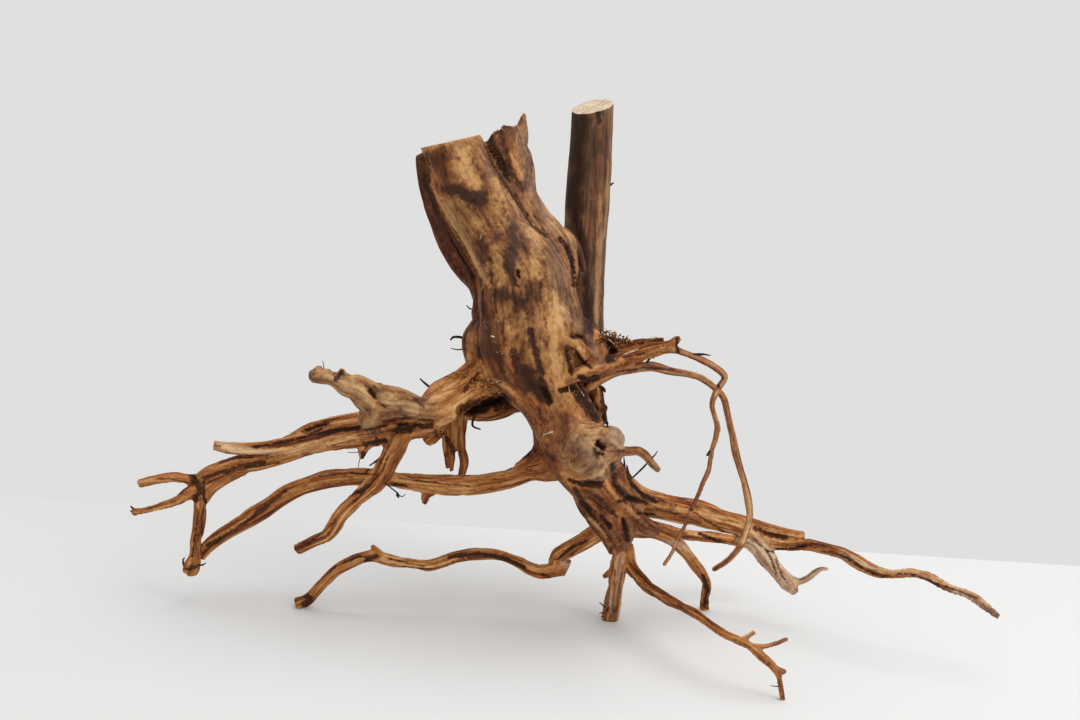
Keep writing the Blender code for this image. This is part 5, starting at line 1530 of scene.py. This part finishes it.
def sawn_wood():
    """A dry saw cut: cream wood with growth rings round the pith and a fine mottle."""
    wood = Nodes("sawn_wood", 0.75)
    place = wood.vector("saw")
    bend = wood.noise(wood.stretched(place, 9, 9), 3)
    far = wood.add("VectorMath", {0: place}, operation="LENGTH").outputs["Value"]
    far = wood.math("ADD", far, wood.math("MULTIPLY", bend, 3.0))
    ring = wood.math("SINE", wood.math("MULTIPLY", far, 4.6))
    fine = wood.noise(wood.stretched(place, 0.5, 0.5), 3)
    tone = wood.math("ADD", wood.math("MULTIPLY", ring, 0.10), wood.math("MULTIPLY", fine, 0.5))
    tone = wood.math("ADD", tone, wood.math("MULTIPLY", bend, 0.35))
    color = wood.ramp(tone, [(0.30, CREAM_DARK), (0.48, CREAM), (0.70, CREAM_PALE)])
    # The cut is darkened toward bark brown by the depth in the grooves: painted shade.
    edge = wood.clamped(wood.value("groove_shade"), 0.0, 1.0)
    color = wood.tint(edge, color, BARK_BROWN)
    wood.bumps((ring, 0.08), (fine, 0.2))
    return wood.finish(color)


def bit_material(name, dark, pale, size):
    """Mottled colour for the loose bits: hair roots, straws and crumbs."""
    bit = Nodes(name, 0.7)
    spot = bit.add("TexCoord", {}).outputs["Object"]
    fine = bit.noise(bit.stretched(spot, size * MM, size * MM), 2)
    return bit.finish(bit.ramp(fine, [(0.38, dark), (0.62, pale)]))


def put_values(mesh, name, values, where="POINT"):
    """Stores a number for each point, or for each corner of a face."""
    layer = mesh.attributes.new(name, "FLOAT", where)
    layer.data.foreach_set("value", values.astype(np.float32))


def put_corner_vectors(mesh, name, vectors):
    """Stores a place for each corner of a face."""
    layer = mesh.attributes.new(name, "FLOAT_VECTOR", "CORNER")
    layer.data.foreach_set("vector", vectors.astype(np.float32).ravel())


def whole_numbers(items, field, count):
    """One whole number for each item."""
    values = np.empty(count, np.int32)
    items.foreach_get(field, values)
    return values


def put_kinds(mesh, points, found):
    """Stores the depth in the grooves that is painted as shade, the tints and how smooth the surface is.
    """
    _, groove_shade, blend = surface_facts(points, found)
    _, tints = marked(points, shows_from_front(mesh, points))
    smooth, grey, dark, red = blend[:, 3:].T
    stem = smooth_step(*CROWN_RED, points[:, 2] + CROWN_WAVER * noise(points / CROWN_WAVER, STEM_SEED))
    bark = smooth > BARK_SMOOTH
    dark = dark * np.where(bark, smooth_step(*CROWN_DARK, points[:, 2]), 1)
    red = np.maximum(red, 0.6 * bark * (1 - stem))
    put_values(mesh, "smooth", np.where(bark, smooth * (0.7 + 0.3 * stem), smooth))
    put_values(mesh, "grey", np.maximum(tints["grey"], grey))
    put_values(mesh, "dark", np.maximum(tints["dark"], dark))
    put_values(mesh, "red", np.maximum(tints["red"], red))
    put_values(mesh, "tan", tints["tan"])
    put_values(mesh, "groove_shade", groove_shade)


def put_grain(mesh, points, found, corners, face_of):
    """Stores each corner's place in the grain of its face's two nearest limbs."""
    middle = np.zeros((len(mesh.polygons), 3))
    np.add.at(middle, face_of, points[corners])
    middle /= np.bincount(face_of)[:, None]
    first, second, _ = two_limbs(limb_reach(middle, found)[0])
    first, second = first[face_of], second[face_of]
    reach, grain = limb_reach(points, found)
    put_corner_vectors(mesh, "grain_a", grain[corners, first])
    put_corner_vectors(mesh, "grain_b", grain[corners, second])
    share = second_share(reach[corners, second] - reach[corners, first])
    put_values(mesh, "grain_share", share, "CORNER")


def put_saw_places(mesh, spots, sawn):
    """Stores each sawn corner's place on its cut, measured from the pith."""
    saw = np.zeros((len(spots), 3))
    for spot, outward, half, _ in SAW_CUTS:
        centre, _ = placed(*spot)
        outward = np.array(outward) / np.linalg.norm(outward)
        side, back = cut_sides(outward)
        gap = spots - centre
        near = (np.abs(gap @ outward) < 1.5) & (np.linalg.norm(gap, axis=1) < 1.5 * half)
        near &= sawn
        saw[near] = np.stack([gap @ side, gap @ back, gap @ outward], 1)[near]
    put_corner_vectors(mesh, "saw", saw)


def dress_skin(mesh, found):
    """Writes what the materials read: grain places, kinds of surface and the depth in the grooves that is
    painted as shade.
    """
    points = mesh_points(mesh)
    faces = mesh.polygons
    corners = whole_numbers(mesh.loops, "vertex_index", len(mesh.loops))
    face_of = np.repeat(np.arange(len(faces)), whole_numbers(faces, "loop_total", len(faces)))
    sawn = whole_numbers(faces, "material_index", len(faces))[face_of] == 1
    put_kinds(mesh, points, found)
    put_grain(mesh, points, found, corners, face_of)
    put_saw_places(mesh, points[corners], sawn)


def put_camera():
    """The front view: turned down and rolled as measured."""
    ahead = np.array([0.0, math.cos(PITCH_DOWN), -math.sin(PITCH_DOWN)])
    level = np.array([1.0, 0.0, 0.0])
    upright = np.cross(level, ahead)
    right = level * math.cos(ROLL) + upright * math.sin(ROLL)
    up = np.cross(right, ahead)
    camera = bpy.data.cameras.new("front_view")
    camera.lens = LENS
    camera.sensor_width = SENSOR
    camera.clip_start = 0.01
    holder = linked("front_view", camera)
    turn = Matrix((right, up, -ahead)).transposed().to_4x4()
    holder.matrix_world = Matrix.Translation(Vector(EYE * MM)) @ turn
    bpy.context.scene.camera = holder


def put_floor():
    """A plain pale floor."""
    mesh = bpy.data.meshes.new("floor")
    front = ((-FLOOR_HALF, -FLOOR_HALF, 0), (FLOOR_HALF, -FLOOR_HALF, 0))
    back = ((FLOOR_HALF, FLOOR_BACK, 0), (-FLOOR_HALF, FLOOR_BACK, 0))
    mesh.from_pydata([*front, *back], [], [(0, 1, 2, 3)])
    pale = Nodes("floor_paint", 0.55)
    pale.surface.inputs["Base Color"].default_value = FLOOR_COLOR
    mesh.materials.append(pale.material)
    floor = linked("floor", mesh)
    floor.location.z = -FLOOR_DROP


def put_light(name, place, size, power):
    """A square soft light turned to the root."""
    lamp = bpy.data.lights.new(name, "AREA")
    lamp.size = size
    lamp.energy = power
    holder = linked(name, lamp)
    holder.location = place
    holder.rotation_euler = (Vector(LIGHT_AIM) - Vector(place)).to_track_quat("-Z", "Y").to_euler()


def put_sky():
    """An even pale surround."""
    world = bpy.data.worlds.new("surround")
    world.use_nodes = True
    glow = world.node_tree.nodes["Background"]
    glow.inputs["Color"].default_value = SKY_COLOR
    glow.inputs["Strength"].default_value = SKY_STRENGTH
    bpy.context.scene.world = world
    bpy.context.scene.view_settings.view_transform = "Standard"


def on_wood(tree, across, up, lift):
    """The point on the wood behind a place on the plane, as seen from the front, raised a little."""
    sight = np.array([across, 0.0, up]) - EYE
    sight /= np.linalg.norm(sight)
    hit = tree.ray_cast(EYE, sight)[0]
    return None if hit is None else np.array(hit) - sight * lift


def shell_piece(shells, name, material, smooth=True):
    """A piece made of loose shells."""
    mesh = mesh_of(shells, name)
    mesh.materials.append(material)
    if smooth:
        mesh.shade_smooth()
    show_piece(name, mesh)


def show_piece(name, mesh):
    """A piece of wood that rides on the root's body."""
    piece = linked(name, mesh)
    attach(piece, "root")
    return piece


def put_hairs():
    """The fine dark roots and the splinters."""
    chance = np.random.default_rng(HAIR_SEED)
    shells = {"points": [], "faces": []}
    for route in HAIRS:
        add_tube(shells, route, 1.0, 3, 0.05, HAIR_POINTS, 0.12, chance, LEAST_HAIR)
    shell_piece(shells, "hair_roots", bit_material("hair", *HAIR_COLORS, 2))


def put_straws(tree):
    """Pale straws and slivers that lie on the wood."""
    chance = np.random.default_rng(STRAW_SEED)
    shells = {"points": [], "faces": []}
    for thickness, *line in STRAWS:
        route = []
        for across, up in line:
            point = on_wood(tree, across, up, 0.3 * thickness)
            if point is not None:
                share = shortening(-point[1])
                route.append((*on_plane(point[None])[0], -point[1], thickness / share))
        if len(route) > 1:
            add_tube(shells, route, 0.7, 3, 0.1, HAIR_POINTS, 0.1, chance, LEAST_HAIR)
    shell_piece(shells, "straws", bit_material("straw", *STRAW_COLORS, 3))


def add_crumb(shells, centre, size, chance):
    """One small crumb with eight uneven faces."""
    first = len(shells["points"])
    for axis in range(3):
        for way in (-1, 1):
            tip = chance.normal(0, 0.22, 3)
            tip[axis] += way * chance.uniform(0.6, 1.2)
            shells["points"].append(centre + tip * size / 2)
    for x in (0, 1):
        for y in (2, 3):
            for z in (4, 5):
                shells["faces"].append((first + x, first + y, first + z))


def put_crumbs(tree, name, heaps, material):
    """Heaps of crumbs on the wood."""
    chance = np.random.default_rng(CRUMB_SEED)
    shells = {"points": [], "faces": []}
    for count, small, large, rise, half, *line in heaps:
        for _ in range(count):
            place = chance.uniform(0, len(line) - 1)
            step = int(place)
            start, end = np.array(line[step], float), np.array(line[step + 1], float)
            spot = start + (place - step) * (end - start) + chance.normal(0, half / 2, 2)
            size = chance.uniform(small, large)
            point = on_wood(tree, *spot, 0.1 * size)
            if point is not None:
                point[2] += chance.uniform(0, rise)
                add_crumb(shells, point, size, chance)
    shell_piece(shells, name, material, smooth=False)


def build():
    """The whole scene."""
    put_camera()
    put_sky()
    put_floor()
    for light in LIGHTS:
        put_light(*light)
    found = limbs()
    mesh = cut_skin(fused_skin(found), root_wood(), sawn_wood())
    dress_skin(mesh, found)
    mesh.shade_smooth()
    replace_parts(show_piece("dry_root_wood", mesh), "dry_root")
    tree = tree_of(mesh, mesh_points(mesh))
    put_hairs()
    put_straws(tree)
    for kind, (heaps, dark, pale) in CRUMBS.items():
        put_crumbs(tree, kind + "_crumbs", heaps, bit_material(kind + "_crumb", dark, pale, 1))


build()
